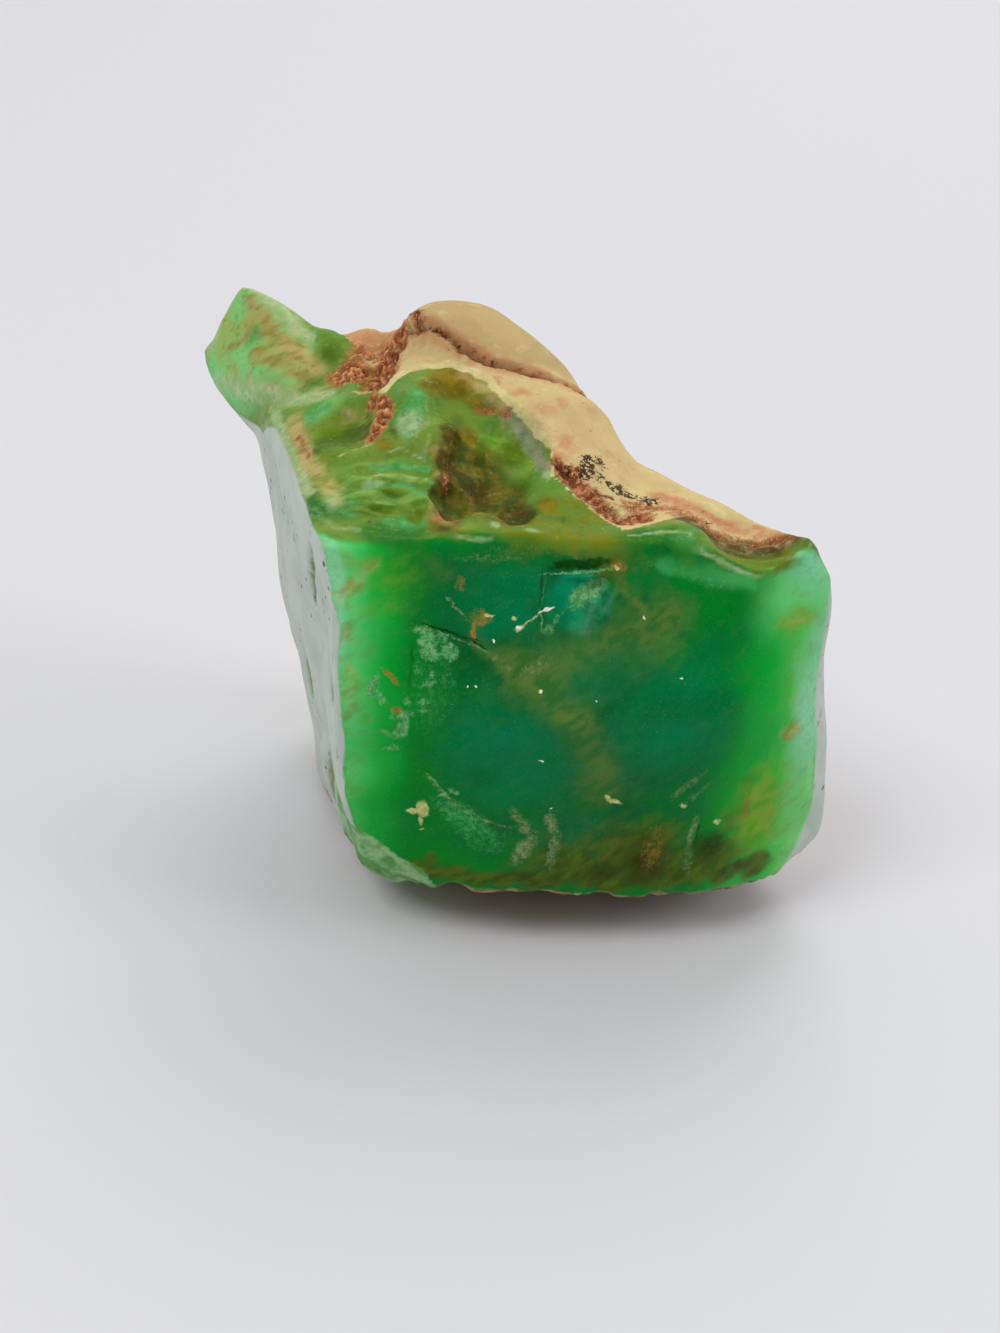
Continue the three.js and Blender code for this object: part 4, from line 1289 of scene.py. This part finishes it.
        # Painted shade: how deep each vertex lies in a crease and in a broad hollow, so that both can be
        # darkened.
        drawn["crease_shade"] = eased(-bend, 0.03, 0.16)
        drawn["hollow_shade"] = eased(-surface.bend(self.far_rounds), 0.25, 1.7)
        line = np.array(self.corner_facet)
        facet = np.interp(x, line[:, 0], line[:, 1])
        chip = eased(z, facet + 0.25, facet - 0.35)
        drawn["chip"] = chip * eased(y, -11.0, -13.5) * eased(x, -2.0, -3.4)

    def piece(self, surface: Surface) -> bpy.types.Object:
        """Writes the surface and its masks to a new object.

        Args:
            surface: The finished surface.

        Returns:
            The piece, in metres.
        """
        mesh = bpy.data.meshes.new("raw_stone")
        mesh.vertices.add(len(surface.places))
        mesh.vertices.foreach_set("co", (surface.places * MM).ravel())
        mesh.loops.add(surface.quads.size)
        mesh.loops.foreach_set("vertex_index", surface.quads.ravel())
        mesh.polygons.add(len(surface.quads))
        mesh.polygons.foreach_set("loop_start", np.arange(0, surface.quads.size, 4))
        mesh.update(calc_edges=True)
        mesh.validate()
        mesh.polygons.foreach_set("use_smooth", np.ones(len(mesh.polygons), bool))
        for name, values in self.masks.items():
            layer = mesh.attributes.new(f"zone_{name}", "FLOAT", "POINT")
            layer.data.foreach_set("value", values.astype(np.float32))
        made = bpy.data.objects.new("raw_stone", mesh)
        bpy.context.scene.collection.objects.link(made)
        mesh.materials.append(StoneFinish().material())
        LOG.info("raw_stone: %d vertices, %d masks", len(mesh.vertices), len(self.masks))
        return made


@dataclass(frozen=True)
class Wires:
    """A short way to lay out a node tree."""

    tree: bpy.types.NodeTree

    def node(self, kind: str, **settings: object) -> bpy.types.Node:
        """Adds a node and sets its own options.

        Args:
            kind: Blender's name for the node.
            settings: Its options by name.

        Returns:
            The node.
        """
        made = self.tree.nodes.new(kind)
        for name, value in settings.items():
            setattr(made, name, value)
        return made

    def feed(self, socket: Socket, source: object) -> None:
        """Links a socket to a source, or gives it a plain value.

        Args:
            socket: What is fed.
            source: A socket, a number, a colour or a vector.
        """
        if isinstance(source, Socket):
            self.tree.links.new(source, socket)
        elif isinstance(source, tuple) and len(source) == 3 and socket.type == "RGBA":
            socket.default_value = (*source, 1.0)
        else:
            socket.default_value = source

    def fed(self, node: bpy.types.Node, inputs: dict[object, object]) -> bpy.types.Node:
        """Feeds a node.

        Args:
            node: The node.
            inputs: What each input is fed, by its name or number.

        Returns:
            The same node.
        """
        for key, source in inputs.items():
            self.feed(node.inputs[key], source)
        return node

    def maths(self, kind: str, *terms: object, clamp: bool = False) -> Socket:
        """One step of arithmetic on numbers, held from 0 to 1 where it is clamped."""
        made = self.node("ShaderNodeMath", operation=kind, use_clamp=clamp)
        return self.fed(made, dict(enumerate(terms))).outputs[0]

    def times(self, first: object, second: object) -> Socket:
        """Two numbers multiplied."""
        return self.maths("MULTIPLY", first, second)

    def most(self, first: object, second: object) -> Socket:
        """The larger of two numbers."""
        return self.maths("MAXIMUM", first, second)

    def ramp(self, value: object, low: float, high: float) -> Socket:
        """A straight ramp from 0 at low to 1 at high."""
        slope = 1.0 / (high - low)
        return self.maths("MULTIPLY_ADD", value, slope, -low * slope, clamp=True)

    def mix(self, share: object, first: object, second: object) -> Socket:
        """A blend of two colours."""
        made = self.node("ShaderNodeMix", data_type="RGBA")
        return self.fed(made, {"Factor": share, 6: first, 7: second}).outputs[2]

    def blend(self, share: object, first: object, second: object) -> Socket:
        """A blend of two numbers."""
        made = self.node("ShaderNodeMix", data_type="FLOAT")
        return self.fed(made, {"Factor": share, 2: first, 3: second}).outputs[0]

    def step(self, value: object, low: object, high: object) -> Socket:
        """A smooth step from 0 at low to 1 at high."""
        made = self.node("ShaderNodeMapRange", interpolation_type="SMOOTHSTEP")
        return self.fed(made, {"Value": value, "From Min": low, "From Max": high}).outputs["Result"]

    def speck(self, colour: Socket, tone: tuple[int, int, int], *factors: object) -> Socket:
        """Lays a tone over a colour.

        Args:
            colour: The colour that lies under it.
            tone: Its levels on a screen, 0 to 255.
            factors: What multiplies to the strength of the tone.

        Returns:
            The colour with the tone on it.
        """
        share, *others = factors
        for factor in others:
            share = self.times(share, factor)
        return self.mix(share, colour, linear(*tone))

    def pulled(self, spot: object, turn: Place, size: Place) -> Socket:
        """Places turned and squeezed, so that what they carry is drawn out.

        Args:
            spot: The places.
            turn: How far they are turned about each axis, in degrees.
            size: How far what they carry is drawn out each way.

        Returns:
            The changed places.
        """
        made = self.node("ShaderNodeMapping", vector_type="TEXTURE")
        turned = tuple(math.radians(part) for part in turn)
        return self.fed(made, {"Vector": spot, "Rotation": turned, "Scale": size}).outputs["Vector"]

    def here(self) -> Socket:
        """A point's own place in the stone, in metres."""
        return self.node("ShaderNodeTexCoord").outputs["Object"]

    def zone(self, name: str) -> Socket:
        """The mask of a zone, read from the mesh."""
        return self.node("ShaderNodeAttribute", attribute_name=f"zone_{name}").outputs["Fac"]

    def noise(self, spot: object, width: float, detail: float) -> Socket:
        """Noise round 0.5, whose lumps have a width in millimetres."""
        inputs = {"Vector": spot, "Scale": 1.0 / (width * MM), "Detail": detail}
        return self.fed(self.node("ShaderNodeTexNoise"), inputs).outputs["Fac"]

    def call(self, group: bpy.types.NodeTree, **inputs: object) -> bpy.types.Node:
        """Places a node group and feeds its inputs by name."""
        return self.fed(self.node("ShaderNodeGroup", node_tree=group), inputs)


class Effects:
    """The shader node groups that the stone's finish is made of."""

    KINDS = {
        "Colour": "Color", "First": "Color", "Second": "Color",
        "Spot": "Vector", "Along": "Vector", "Over": "Vector",
    }
    # A share too small to see, which only makes one step of the shader wait for another.
    NUDGE = 1e-7

    @classmethod
    def start(
        cls, name: str, inputs: Sequence[str], outputs: Sequence[str]
    ) -> tuple[bpy.types.NodeTree, Wires, Sockets, Sockets]:
        """A new group, with inputs and outputs that are numbers unless KINDS says otherwise.

        Args:
            name: The group's name.
            inputs: The names of its inputs.
            outputs: The names of its outputs.

        Returns:
            The group, its wires, the sockets that it reads and those that it fills.
        """
        group = bpy.data.node_groups.new(name, "ShaderNodeTree")
        for way, labels in (("INPUT", inputs), ("OUTPUT", outputs)):
            for label in labels:
                kind = cls.KINDS.get(label, "Float")
                group.interface.new_socket(label, in_out=way, socket_type=f"NodeSocket{kind}")
        wires = Wires(group)
        into, out = wires.node("NodeGroupInput"), wires.node("NodeGroupOutput")
        return group, wires, into.outputs, out.inputs

    @classmethod
    def mineral_grain(cls) -> bpy.types.NodeTree:
        """Noise fixed in the stone, at four widths, in wisps and in two blends.

        Returns:
            The group.
        """
        mottles = ("Broad", "Middle", "Wisps", "Small")
        outputs = ("Broad", "Middle", "Fine", "Dust", "Wisps", "Even", "Small")
        outputs += tuple(f"{label} Mottle" for label in mottles)
        group, wires, _, out = cls.start("mineral grain", (), outputs)
        spot = wires.here()
        sizes = (("Broad", 4.0, 3.0), ("Middle", 1.3, 4.0), ("Fine", 0.45, 4.0), ("Dust", 0.16, 2.0))
        made = {label: wires.noise(spot, width, detail) for label, width, detail in sizes}
        pulled = wires.pulled(spot, (0.0, -38.0, 0.0), (2.6, 1.0, 1.0))
        made["Wisps"] = wires.noise(pulled, 0.9, 6.0)
        made["Even"] = wires.blend(0.45, made["Middle"], made["Fine"])
        made["Small"] = wires.blend(0.4, made["Fine"], made["Dust"])
        made |= {f"{label} Mottle": wires.step(made[label], 0.38, 0.62) for label in mottles}
        for label in outputs:
            wires.feed(out[label], made[label])
        return group

    @classmethod
    def wandering_place(cls) -> bpy.types.NodeTree:
        """Where a point lies on the face, across and up, pushed about a little.

        Returns:
            The group.
        """
        group, wires, _, out = cls.start("wandering place", (), ("Spot",))
        spot = wires.here()
        joined = wires.node("ShaderNodeCombineXYZ")
        for axis, (label, turn) in enumerate((("across", (0.0, 0.0, 0.0)), ("up", (90.0, 0.0, 90.0)))):
            place = wires.zone(label)
            turned = wires.pulled(spot, turn, (1.0, 1.0, 1.0))
            for width, reach in ((0.9, 0.6), (0.3, 0.25)):
                push = wires.maths("SUBTRACT", wires.noise(turned, width, 2.0), 0.5)
                place = wires.maths("MULTIPLY_ADD", push, reach, place)
            wires.feed(joined.inputs[axis], place)
        wires.feed(joined.inputs[2], 1.0)
        wires.feed(out["Spot"], joined.outputs[0])
        return group

    @classmethod
    def waiting_spot(cls) -> bpy.types.NodeTree:
        """The same spot, but not worked out before something else is.

        Returns:
            The group.
        """
        group, wires, get, out = cls.start("waiting spot", ("Spot", "After"), ("Spot",))
        made = wires.node("ShaderNodeVectorMath", operation="MULTIPLY_ADD")
        wires.fed(made, {0: get["After"], 1: (cls.NUDGE, cls.NUDGE, 0.0), 2: get["Spot"]})
        wires.feed(out["Spot"], made.outputs[0])
        return group

    @classmethod
    def chip_shape(cls) -> bpy.types.NodeTree:
        """A leaning egg on the face, laid over the mask of the chips before it.

        Returns:
            The group.
        """
        inputs = ("Spot", "Along", "Over", "Slope", "Start", "Weight", "Mask")
        group, wires, get, out = cls.start("chip shape", inputs, ("Mask",))
        reach: object = 0.0
        for way in ("Along", "Over"):
            part = wires.node("ShaderNodeVectorMath", operation="DOT_PRODUCT")
            share = wires.fed(part, {0: get["Spot"], 1: get[way]}).outputs["Value"]
            reach = wires.maths("MULTIPLY_ADD", share, share, reach)
        seen = wires.maths("MULTIPLY_ADD", reach, get["Slope"], get["Start"], clamp=True)
        wires.feed(out["Mask"], wires.most(get["Mask"], wires.times(seen, get["Weight"])))
        return group

    @classmethod
    def laid_coat(cls) -> bpy.types.NodeTree:
        """A coat of two mottled tones, laid over a colour where a ragged mask says.

        Returns:
            The group.
        """
        inputs = ("Colour", "First", "Second", "Mask", "Grain", "Mottle", "Ragged", "Soft",
                  "Strength", "After")
        group, wires, get, out = cls.start("laid coat", inputs, ("Colour", "Mask"))
        mask, grain, mottle = (
            wires.maths("MULTIPLY_ADD", get["After"], cls.NUDGE, get[label])
            for label in ("Mask", "Grain", "Mottle")
        )
        push = wires.times(wires.maths("SUBTRACT", grain, 0.5), get["Ragged"])
        pushed = wires.maths("MULTIPLY_ADD", push, wires.ramp(mask, 0.0, 0.16), mask)
        low, high = (wires.maths(kind, 0.5, get["Soft"]) for kind in ("SUBTRACT", "ADD"))
        ragged = wires.step(pushed, low, high)
        tone = wires.mix(mottle, get["First"], get["Second"])
        share = wires.times(ragged, get["Strength"])
        wires.feed(out["Colour"], wires.mix(share, get["Colour"], tone))
        wires.feed(out["Mask"], ragged)
        return group

    @classmethod
    def flecks(cls, name: str, turn: Place, size: Place) -> bpy.types.NodeTree:
        """Small scattered flecks: a few grains among many empty cells.

        Args:
            name: The group's name.
            turn: How the flecks lean, in degrees.
            size: How far they are drawn out each way.

        Returns:
            The group.
        """
        group, wires, get, out = cls.start(name, ("Width", "Share", "Round"), ("Mask",))
        pulled = wires.pulled(wires.here(), turn, size)
        per_metre = wires.maths("DIVIDE", 1.0 / MM, get["Width"])
        cells = wires.fed(wires.node("ShaderNodeTexVoronoi"), {"Vector": pulled, "Scale": per_metre})
        split = wires.fed(wires.node("ShaderNodeSeparateColor"), {0: cells.outputs["Color"]})
        chosen = wires.maths("LESS_THAN", split.outputs[0], get["Share"])
        girth = wires.times(get["Round"], split.outputs[1])
        dot = wires.step(cells.outputs["Distance"], girth, wires.times(girth, 0.6))
        wires.feed(out["Mask"], wires.times(chosen, dot))
        return group


@dataclass(frozen=True)
class StoneFinish:
    """The stone's colours, gloss and glow, from its green heart to its rind."""

    green: Colour = linear(0, 134, 36)
    green_second: Colour = linear(0, 124, 50)
    glow_radius: Colour = (0.35, 1.0, 0.5)
    glow_scale: float = 0.002
    face_glow: float = 0.32
    top_glow: float = 0.16
    rind_glow: float = 0.1
    glass_rough: float = 0.2
    skin_rough: float = 0.42
    rind_rough: float = 0.72
    rust_rough: float = 0.9
    grain_rough: float = 0.12
    index: float = 1.45
    shine: float = 0.08
    glaze: float = 0.06
    glaze_rough: float = 0.12
    bump: float = 0.5
    bump_height: float = 0.00012
    glassy_bump: float = 0.06
    rusty_bump: float = 2.0

    @staticmethod
    def coats() -> tuple[Coat, ...]:
        """The coats of colour, from the first laid to the last.

        Returns:
            The coats.
        """
        small, wispy, broad = Texture.SMALL, Texture.WISPY, Texture.BROAD
        rows = (
            ("top", (122, 148, 54), (98, 142, 50), 0.4, 0.4, 1.0, broad),
            ("horn", (160, 190, 100), (136, 208, 124), 0.5, 0.45, 0.95, broad),
            ("gloom", (12, 102, 46), (6, 92, 40), 0.4, 0.5, 0.9, broad),
            ("pool", (0, 158, 112), (0, 134, 92), 0.3, 0.35),
            # Painted light: this row and the next three colour the glow of light through the front's thin
            # sides, and the next one also colours real mint zones.
            ("bright", (4, 186, 58), (28, 182, 62), 0.3, 0.5, 0.95, broad),
            ("mint", (112, 218, 122), (92, 216, 128), 0.25, 0.5, 0.95, broad),
            ("fresh", (112, 222, 100), (98, 208, 92), 0.25, 0.5, 0.95, broad),
            ("husk", (158, 196, 116), (112, 176, 84), 1.8, 0.5, 0.75, wispy),
            ("lime", (96, 162, 22), (138, 174, 56), 0.5, 0.5, 0.9, wispy),
            ("mist", (62, 120, 58), (18, 98, 46), 1.4, 0.5, 0.75),
            ("haze", (108, 134, 56), (56, 114, 48), 1.5, 0.5, 0.85, wispy),
            ("deep", (0, 128, 78), (0, 118, 62), 0.3, 0.5, 0.95, broad),
            ("bog", (64, 84, 16), (92, 108, 28), 1.0, 0.5, 0.95, wispy),
            ("peat", (64, 54, 18), (48, 66, 12), 1.0, 0.5, 0.85, wispy),
            # Painted light: the palest part of the glow along the front's thin sides.
            ("pale", (166, 224, 188), (134, 214, 166), 0.7, 0.45, 0.8, small),
            ("sage", (122, 126, 16), (100, 134, 40), 0.9, 0.4, 0.95, wispy),
            ("leaf", (0, 108, 34), (44, 118, 24), 0.7, 0.45, 0.9),
            ("jade", (98, 178, 100), (70, 152, 72), 0.6, 0.4, 0.9),
            ("moss", (100, 128, 8), (68, 98, 2), 0.6, 0.4, 0.95, broad),
            ("murk", (64, 68, 8), (108, 100, 24), 0.9, 0.45, 0.95),
            ("gold", (146, 122, 18), (112, 94, 8), 0.8, 0.4, 0.92),
            ("ash", (132, 146, 106), (158, 164, 120), 0.4, 0.35),
            ("umber", (92, 62, 16), (54, 60, 8), 1.8, 0.45, 0.9, wispy),
            ("tan", (192, 150, 96), (160, 142, 70), 2.2, 0.5, 0.8, wispy),
            ("band", (154, 188, 88), (116, 174, 84), 0.9, 0.5, 0.6, wispy),
            ("blush", (198, 176, 110), (150, 150, 74), 1.3, 0.5, 0.85, wispy),
            # Pale ridges and edges, with painted glints on the glassy bump and near the brow.
            ("frost", (192, 206, 158), (156, 188, 126), 1.2, 0.5, 0.75),
            ("skin", (202, 210, 200), (188, 202, 188), 0.25, 0.3, 1.0, broad),
            ("slot", (108, 122, 52), (150, 158, 96), 0.8, 0.35, 0.95),
            ("rind", (214, 190, 134), (206, 180, 126), 0.15, 0.25, 1.0, broad),
            ("dome", (186, 160, 108), (196, 170, 118), 0.5, 0.5, 0.9, broad),
            ("back", (190, 158, 108), (214, 194, 146), 1.2, 0.5, 0.8, broad),
            ("crust", (168, 112, 66), (134, 88, 54), 1.8, 0.5, 0.75, small),
            ("window", (92, 148, 74), (136, 168, 96), 1.2, 0.4, 0.85),
            ("under", (112, 86, 56), (176, 150, 112), 0.5, 0.3),
            ("chip", (156, 194, 144), (96, 158, 82), 0.4, 0.3, 0.95),
            ("dip", (66, 60, 24), (98, 94, 44), 0.8, 0.4, 0.95),
            ("stain", (190, 116, 80), (204, 148, 104), 1.4, 0.45, 0.85, small),
            ("iron", (232, 142, 90), (156, 82, 48), 2.2, 0.4, 0.95, small),
            ("crumb", (255, 158, 100), (208, 112, 68), 1.6, 0.35, 0.95, small),
            ("gash", (84, 42, 24), (118, 62, 34), 1.0, 0.4, 0.95, small),
            ("buff", (222, 208, 150), (204, 190, 126), 0.4, 0.3),
            ("hem", (220, 206, 142), (178, 160, 84), 0.9, 0.4, 0.9, small),
            ("rim", (206, 210, 162), (150, 200, 140), 1.0, 0.4, 0.22, small),
        )
        return tuple(Coat(name, linear(*one), linear(*two), *more) for name, one, two, *more in rows)

    def material(self) -> bpy.types.Material:
        """The stone's material, built round one shader.

        Returns:
            The material.
        """
        made = bpy.data.materials.new("raw chrysoprase")
        made.use_nodes = True
        wires = Wires(made.node_tree)
        grain = wires.call(Effects.mineral_grain()).outputs
        spot = wires.call(Effects.wandering_place()).outputs["Spot"]
        coat_group = Effects.laid_coat()
        colour = wires.mix(wires.step(grain["Broad"], 0.35, 0.65), self.green, self.green_second)
        cover: dict[str, Socket] = {}
        last: object = 0.0
        for coat in self.coats():
            mottle = "Middle" if coat.texture is Texture.EVEN else coat.texture.value
            laid = wires.call(coat_group, Colour=colour, First=coat.colour, Second=coat.second,
                              Mask=wires.zone(coat.name), Grain=grain[coat.texture.value],
                              Mottle=grain[f"{mottle} Mottle"], Ragged=coat.ragged, Soft=coat.soft,
                              Strength=coat.strength, After=last)
            colour, last = laid.outputs
            cover[coat.name] = last
            if coat.name == "peat":
                colour, last = self.flawed(wires, coat_group, laid, grain, spot)
        rust = wires.most(cover["iron"], cover["crumb"])
        opaque = wires.most(wires.most(cover["rind"], cover["skin"]), wires.most(rust, cover["under"]))
        colour = self.specks(wires, colour, opaque, rust, grain)
        rough = wires.blend(cover["skin"], self.glass_rough, self.skin_rough)
        rough = wires.blend(wires.most(cover["rind"], cover["under"]), rough, self.rind_rough)
        rough = wires.blend(rust, rough, self.rust_rough)
        glow = wires.blend(wires.zone("top"), self.face_glow, self.top_glow)
        glassy_top = wires.times(wires.zone("top"), wires.maths("SUBTRACT", 1.0, opaque))
        wires.fed(made.node_tree.nodes["Principled BSDF"], {
            "Base Color": colour,
            "Roughness": wires.maths("ADD", rough, wires.times(grain["Fine"], self.grain_rough)),
            "Subsurface Weight": wires.blend(opaque, glow, self.rind_glow),
            "Subsurface Radius": self.glow_radius,
            "Subsurface Scale": self.glow_scale,
            "IOR": self.index,
            "Specular IOR Level": self.shine,
            "Coat Weight": wires.times(glassy_top, self.glaze),
            "Coat Roughness": self.glaze_rough,
            "Normal": self.bumped(wires, grain["Small"]),
        })
        return made

    def bumped(self, wires: Wires, grain: Socket) -> Socket:
        """The normal over the finest grain, strongest in rust and faint on glassy breaks.

        Args:
            wires: The material's wires.
            grain: The grain that stands up.

        Returns:
            The normal.
        """
        rusty = wires.most(wires.zone("iron"), wires.zone("crumb"))
        dull = wires.most(wires.zone("skin"), wires.zone("under"))
        strength = wires.blend(wires.most(wires.zone("rind"), dull), self.glassy_bump, 1.0)
        strength = wires.maths("MULTIPLY_ADD", rusty, self.rusty_bump, strength)
        bump = wires.node("ShaderNodeBump")
        height = wires.times(grain, strength)
        inputs = {"Strength": self.bump, "Distance": self.bump_height, "Height": height}
        return wires.fed(bump, inputs).outputs["Normal"]

    @staticmethod
    def flawed(
        wires: Wires,
        coat_group: bpy.types.NodeTree,
        laid: bpy.types.Node,
        grain: Sockets,
        place: Socket,
    ) -> Sockets:
        """Lays the small flaws on the broken front, with their painted shadows and painted glints.

        Args:
            wires: The material's wires.
            coat_group: The group that lays a coat.
            laid: The coat that lies under them.
            grain: The outputs of the mineral grain.
            place: Where a point lies on the face.

        Returns:
            The outputs of the last coat laid.
        """
        shape, waiting, face = Effects.chip_shape(), Effects.waiting_spot(), wires.zone("face")
        for flaw in flaws():
            colour, last = laid.outputs
            spot = wires.call(waiting, Spot=place, After=last).outputs["Spot"]
            mask: object = 0.0
            for chip in flaw.chips:
                drawn = wires.call(shape, Spot=spot, Mask=mask, Weight=chip.weight,
                                   **chip.wires(flaw.soft))
                mask = drawn.outputs["Mask"]
            laid = wires.call(coat_group, Colour=colour, First=flaw.second, Second=flaw.colour,
                              Mask=mask, Grain=grain["Small"], Mottle=grain["Small Mottle"],
                              Ragged=1.5, Soft=0.5, Strength=face, After=last)
        return laid.outputs

    @staticmethod
    def specks(
        wires: Wires,
        colour: Socket,
        opaque: Socket,
        rust: Socket,
        grain: Sockets,
    ) -> Socket:
        """Adds what is smaller than a zone: ferns of black oxide, pits and dust, painted shade in creases
        and hollows, and painted glints.

        Args:
            wires: The material's wires.
            colour: The colour so far.
            opaque: Where the stone isn't glassy.
            rust: Where it is rusty.
            grain: The outputs of the mineral grain.

        Returns:
            The colour with its specks.
        """
        step, speck, small = wires.step, wires.speck, grain["Small"]
        flecks = Effects.flecks("flecks", (0.0, 0.0, 0.0), (1.0, 1.0, 1.0))
        slits = Effects.flecks("slits", (0.0, 0.0, -20.0), (1.2, 3.2, 1.5))
        rind = wires.zone("rind")
        colour = speck(colour, (184, 146, 98), step(small, 0.56, 0.68), rind, 0.5)
        colour = speck(colour, (226, 208, 160), step(grain["Middle"], 0.55, 0.68), rind, 0.3)
        grit = wires.maths("SUBTRACT", 1.0, wires.zone("grit"))
        colour = speck(colour, (88, 42, 22), grit, rust, 0.8)
        colour = speck(colour, (230, 168, 116), step(small, 0.52, 0.62), rust, 0.7)
        fern = wires.zone("fern")
        branch = step(wires.maths("ADD", small, wires.times(fern, 0.14)), 0.57, 0.61)
        broken = step(grain["Middle"], 0.36, 0.46)
        colour = speck(colour, (44, 34, 26), branch, step(fern, 0.1, 0.5), broken, 0.92)
        pores = wires.call(flecks, Width=0.9, Share=0.3, Round=0.2).outputs["Mask"]
        colour = speck(colour, (120, 84, 52), pores, wires.times(rind, 0.45))
        cuts = wires.call(slits, Width=0.55, Share=0.42, Round=0.4).outputs["Mask"]
        rows = wires.times(step(grain["Broad"], 0.42, 0.52), wires.zone("skin"))
        colour = speck(colour, (70, 86, 62), cuts, rows, 0.85)
        # Painted shade: creases are darkened brown and broad hollows dark olive.
        colour = speck(colour, (70, 50, 28), wires.zone("crease_shade"), wires.blend(opaque, 0.25, 0.5))
        colour = speck(colour, (46, 50, 12), wires.zone("hollow_shade"), 0.6)
        glassy = wires.maths("SUBTRACT", 1.0, opaque)
        colour = speck(colour, (70, 130, 40), step(grain["Wisps"], 0.5, 0.7), glassy, 0.14)
        top = wires.times(wires.zone("top"), glassy)
        colour = speck(colour, (190, 196, 110), step(grain["Even"], 0.55, 0.66), top, 0.16)
        colour = speck(colour, (62, 84, 10), step(grain["Even"], 0.45, 0.36), top, 0.3)
        # Painted glints: scattered white specks of reflected light on the face.
        face_glints = wires.call(flecks, Width=1.5, Share=0.06, Round=0.08).outputs["Mask"]
        colour = speck(colour, (214, 236, 206), face_glints, wires.zone("face"))
        return speck(colour, (236, 240, 226), step(grain["Dust"], 0.62, 0.72), 0.04)


@dataclass(frozen=True)
class Studio:
    """A pale floor, soft lights and the camera."""

    floor_size: float = 3.0
    floor_tone: Colour = (0.71, 0.71, 0.73)
    floor_rough: float = 0.6
    floor_shine: float = 0.2
    sky_tone: Colour = (0.97, 0.97, 1.0)
    sky_seen: float = 0.72
    sky_dim: float = 0.08
    sky_bright: float = 0.58
    # What the lamps point at, in metres.
    aim: Place = (0.0, -0.005, 0.022)
    # Where the camera stands, in millimetres, and which way its right and its top point.
    eye: Place = (0.66, -165.72, 104.9)
    right: Place = (0.9941, 0.0510, 0.0959)
    up: Place = (-0.1087, 0.4667, 0.8777)
    lens: float = 53.8

    def build(self) -> None:
        """Sets up the floor, the sky, the lights and the camera."""
        self.lay_floor()
        self.light_sky()
        self.lamp("key", (-0.50, -0.55, 0.95), 0.5, 5.3)
        self.lamp("side", (0.85, -0.10, 0.55), 0.4, 1.85)
        self.lamp("back", (0.15, 0.75, 0.80), 0.6, 3.9).visible_glossy = False
        self.place_camera()

    def lay_floor(self) -> None:
        """The floor that the stone stands on."""
        half = self.floor_size / 2
        mesh = bpy.data.meshes.new("floor")
        corners = [(-half, -half, 0), (half, -half, 0), (half, half, 0), (-half, half, 0)]
        mesh.from_pydata(corners, [], [(0, 1, 2, 3)])
        paper = bpy.data.materials.new("pale paper")
        paper.use_nodes = True
        Wires(paper.node_tree).fed(paper.node_tree.nodes["Principled BSDF"], {
            "Base Color": self.floor_tone,
            "Roughness": self.floor_rough,
            "Specular IOR Level": self.floor_shine,
        })
        mesh.materials.append(paper)
        floor = bpy.data.objects.new("floor", mesh)
        bpy.context.scene.collection.objects.link(floor)

    def light_sky(self) -> None:
        """A sky that is bright overhead and behind, and dim in front of the stone."""
        world = bpy.context.scene.world = bpy.data.worlds.new("sky")
        world.use_nodes = True
        wires = Wires(world.node_tree)
        spot = wires.node("ShaderNodeTexCoord").outputs["Generated"]
        _, y, z = wires.fed(wires.node("ShaderNodeSeparateXYZ"), {0: spot}).outputs
        lean = wires.maths("ADD", wires.times(y, 0.6), wires.times(z, 0.9))
        power = wires.blend(wires.step(lean, -0.6, 0.8), self.sky_dim, self.sky_bright)
        seen = wires.node("ShaderNodeLightPath").outputs["Is Camera Ray"]
        power = wires.blend(seen, power, self.sky_seen)
        wires.fed(world.node_tree.nodes["Background"], {"Color": self.sky_tone, "Strength": power})

    def lamp(self, name: str, spot: Place, size: float, power: float) -> bpy.types.Object:
        """A square soft box that points at the stone.

        Args:
            name: What it is called.
            spot: Where it hangs, in metres.
            size: Its side in metres.
            power: Its power in watts.

        Returns:
            The lamp.
        """
        data = bpy.data.lights.new(name, "AREA")
        data.size, data.energy = size, power
        made = bpy.data.objects.new(name, data)
        made.location = spot
        made.rotation_euler = (Vector(spot) - Vector(self.aim)).to_track_quat("Z", "Y").to_euler()
        bpy.context.scene.collection.objects.link(made)
        return made

    def place_camera(self) -> None:
        """The camera, a little above the stone and in front of it."""
        data = bpy.data.cameras.new("camera")
        data.lens, data.sensor_width = self.lens, 36.0
        data.clip_start, data.clip_end = 0.01, 20.0
        made = bpy.data.objects.new("camera", data)
        right, up = Vector(self.right), Vector(self.up)
        turn = Matrix((right, up, right.cross(up))).transposed().to_4x4()
        made.matrix_world = Matrix.Translation(Vector(self.eye) * MM) @ turn
        bpy.context.scene.collection.objects.link(made)
        bpy.context.scene.camera = made


def write_sizes() -> None:
    """Brings the view layer up to date.
    """
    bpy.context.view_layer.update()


def main() -> None:
    """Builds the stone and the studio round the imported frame."""
    logging.basicConfig(level=logging.INFO, format="%(message)s")
    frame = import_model()
    view = bpy.context.scene.view_settings
    view.view_transform = "Standard"
    Studio().build()
    stone = RawStone().build(frame["nodes"][NODE])
    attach(stone, "root")
    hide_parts(NODE)
    write_sizes()


if __name__ == "__main__":
    main()
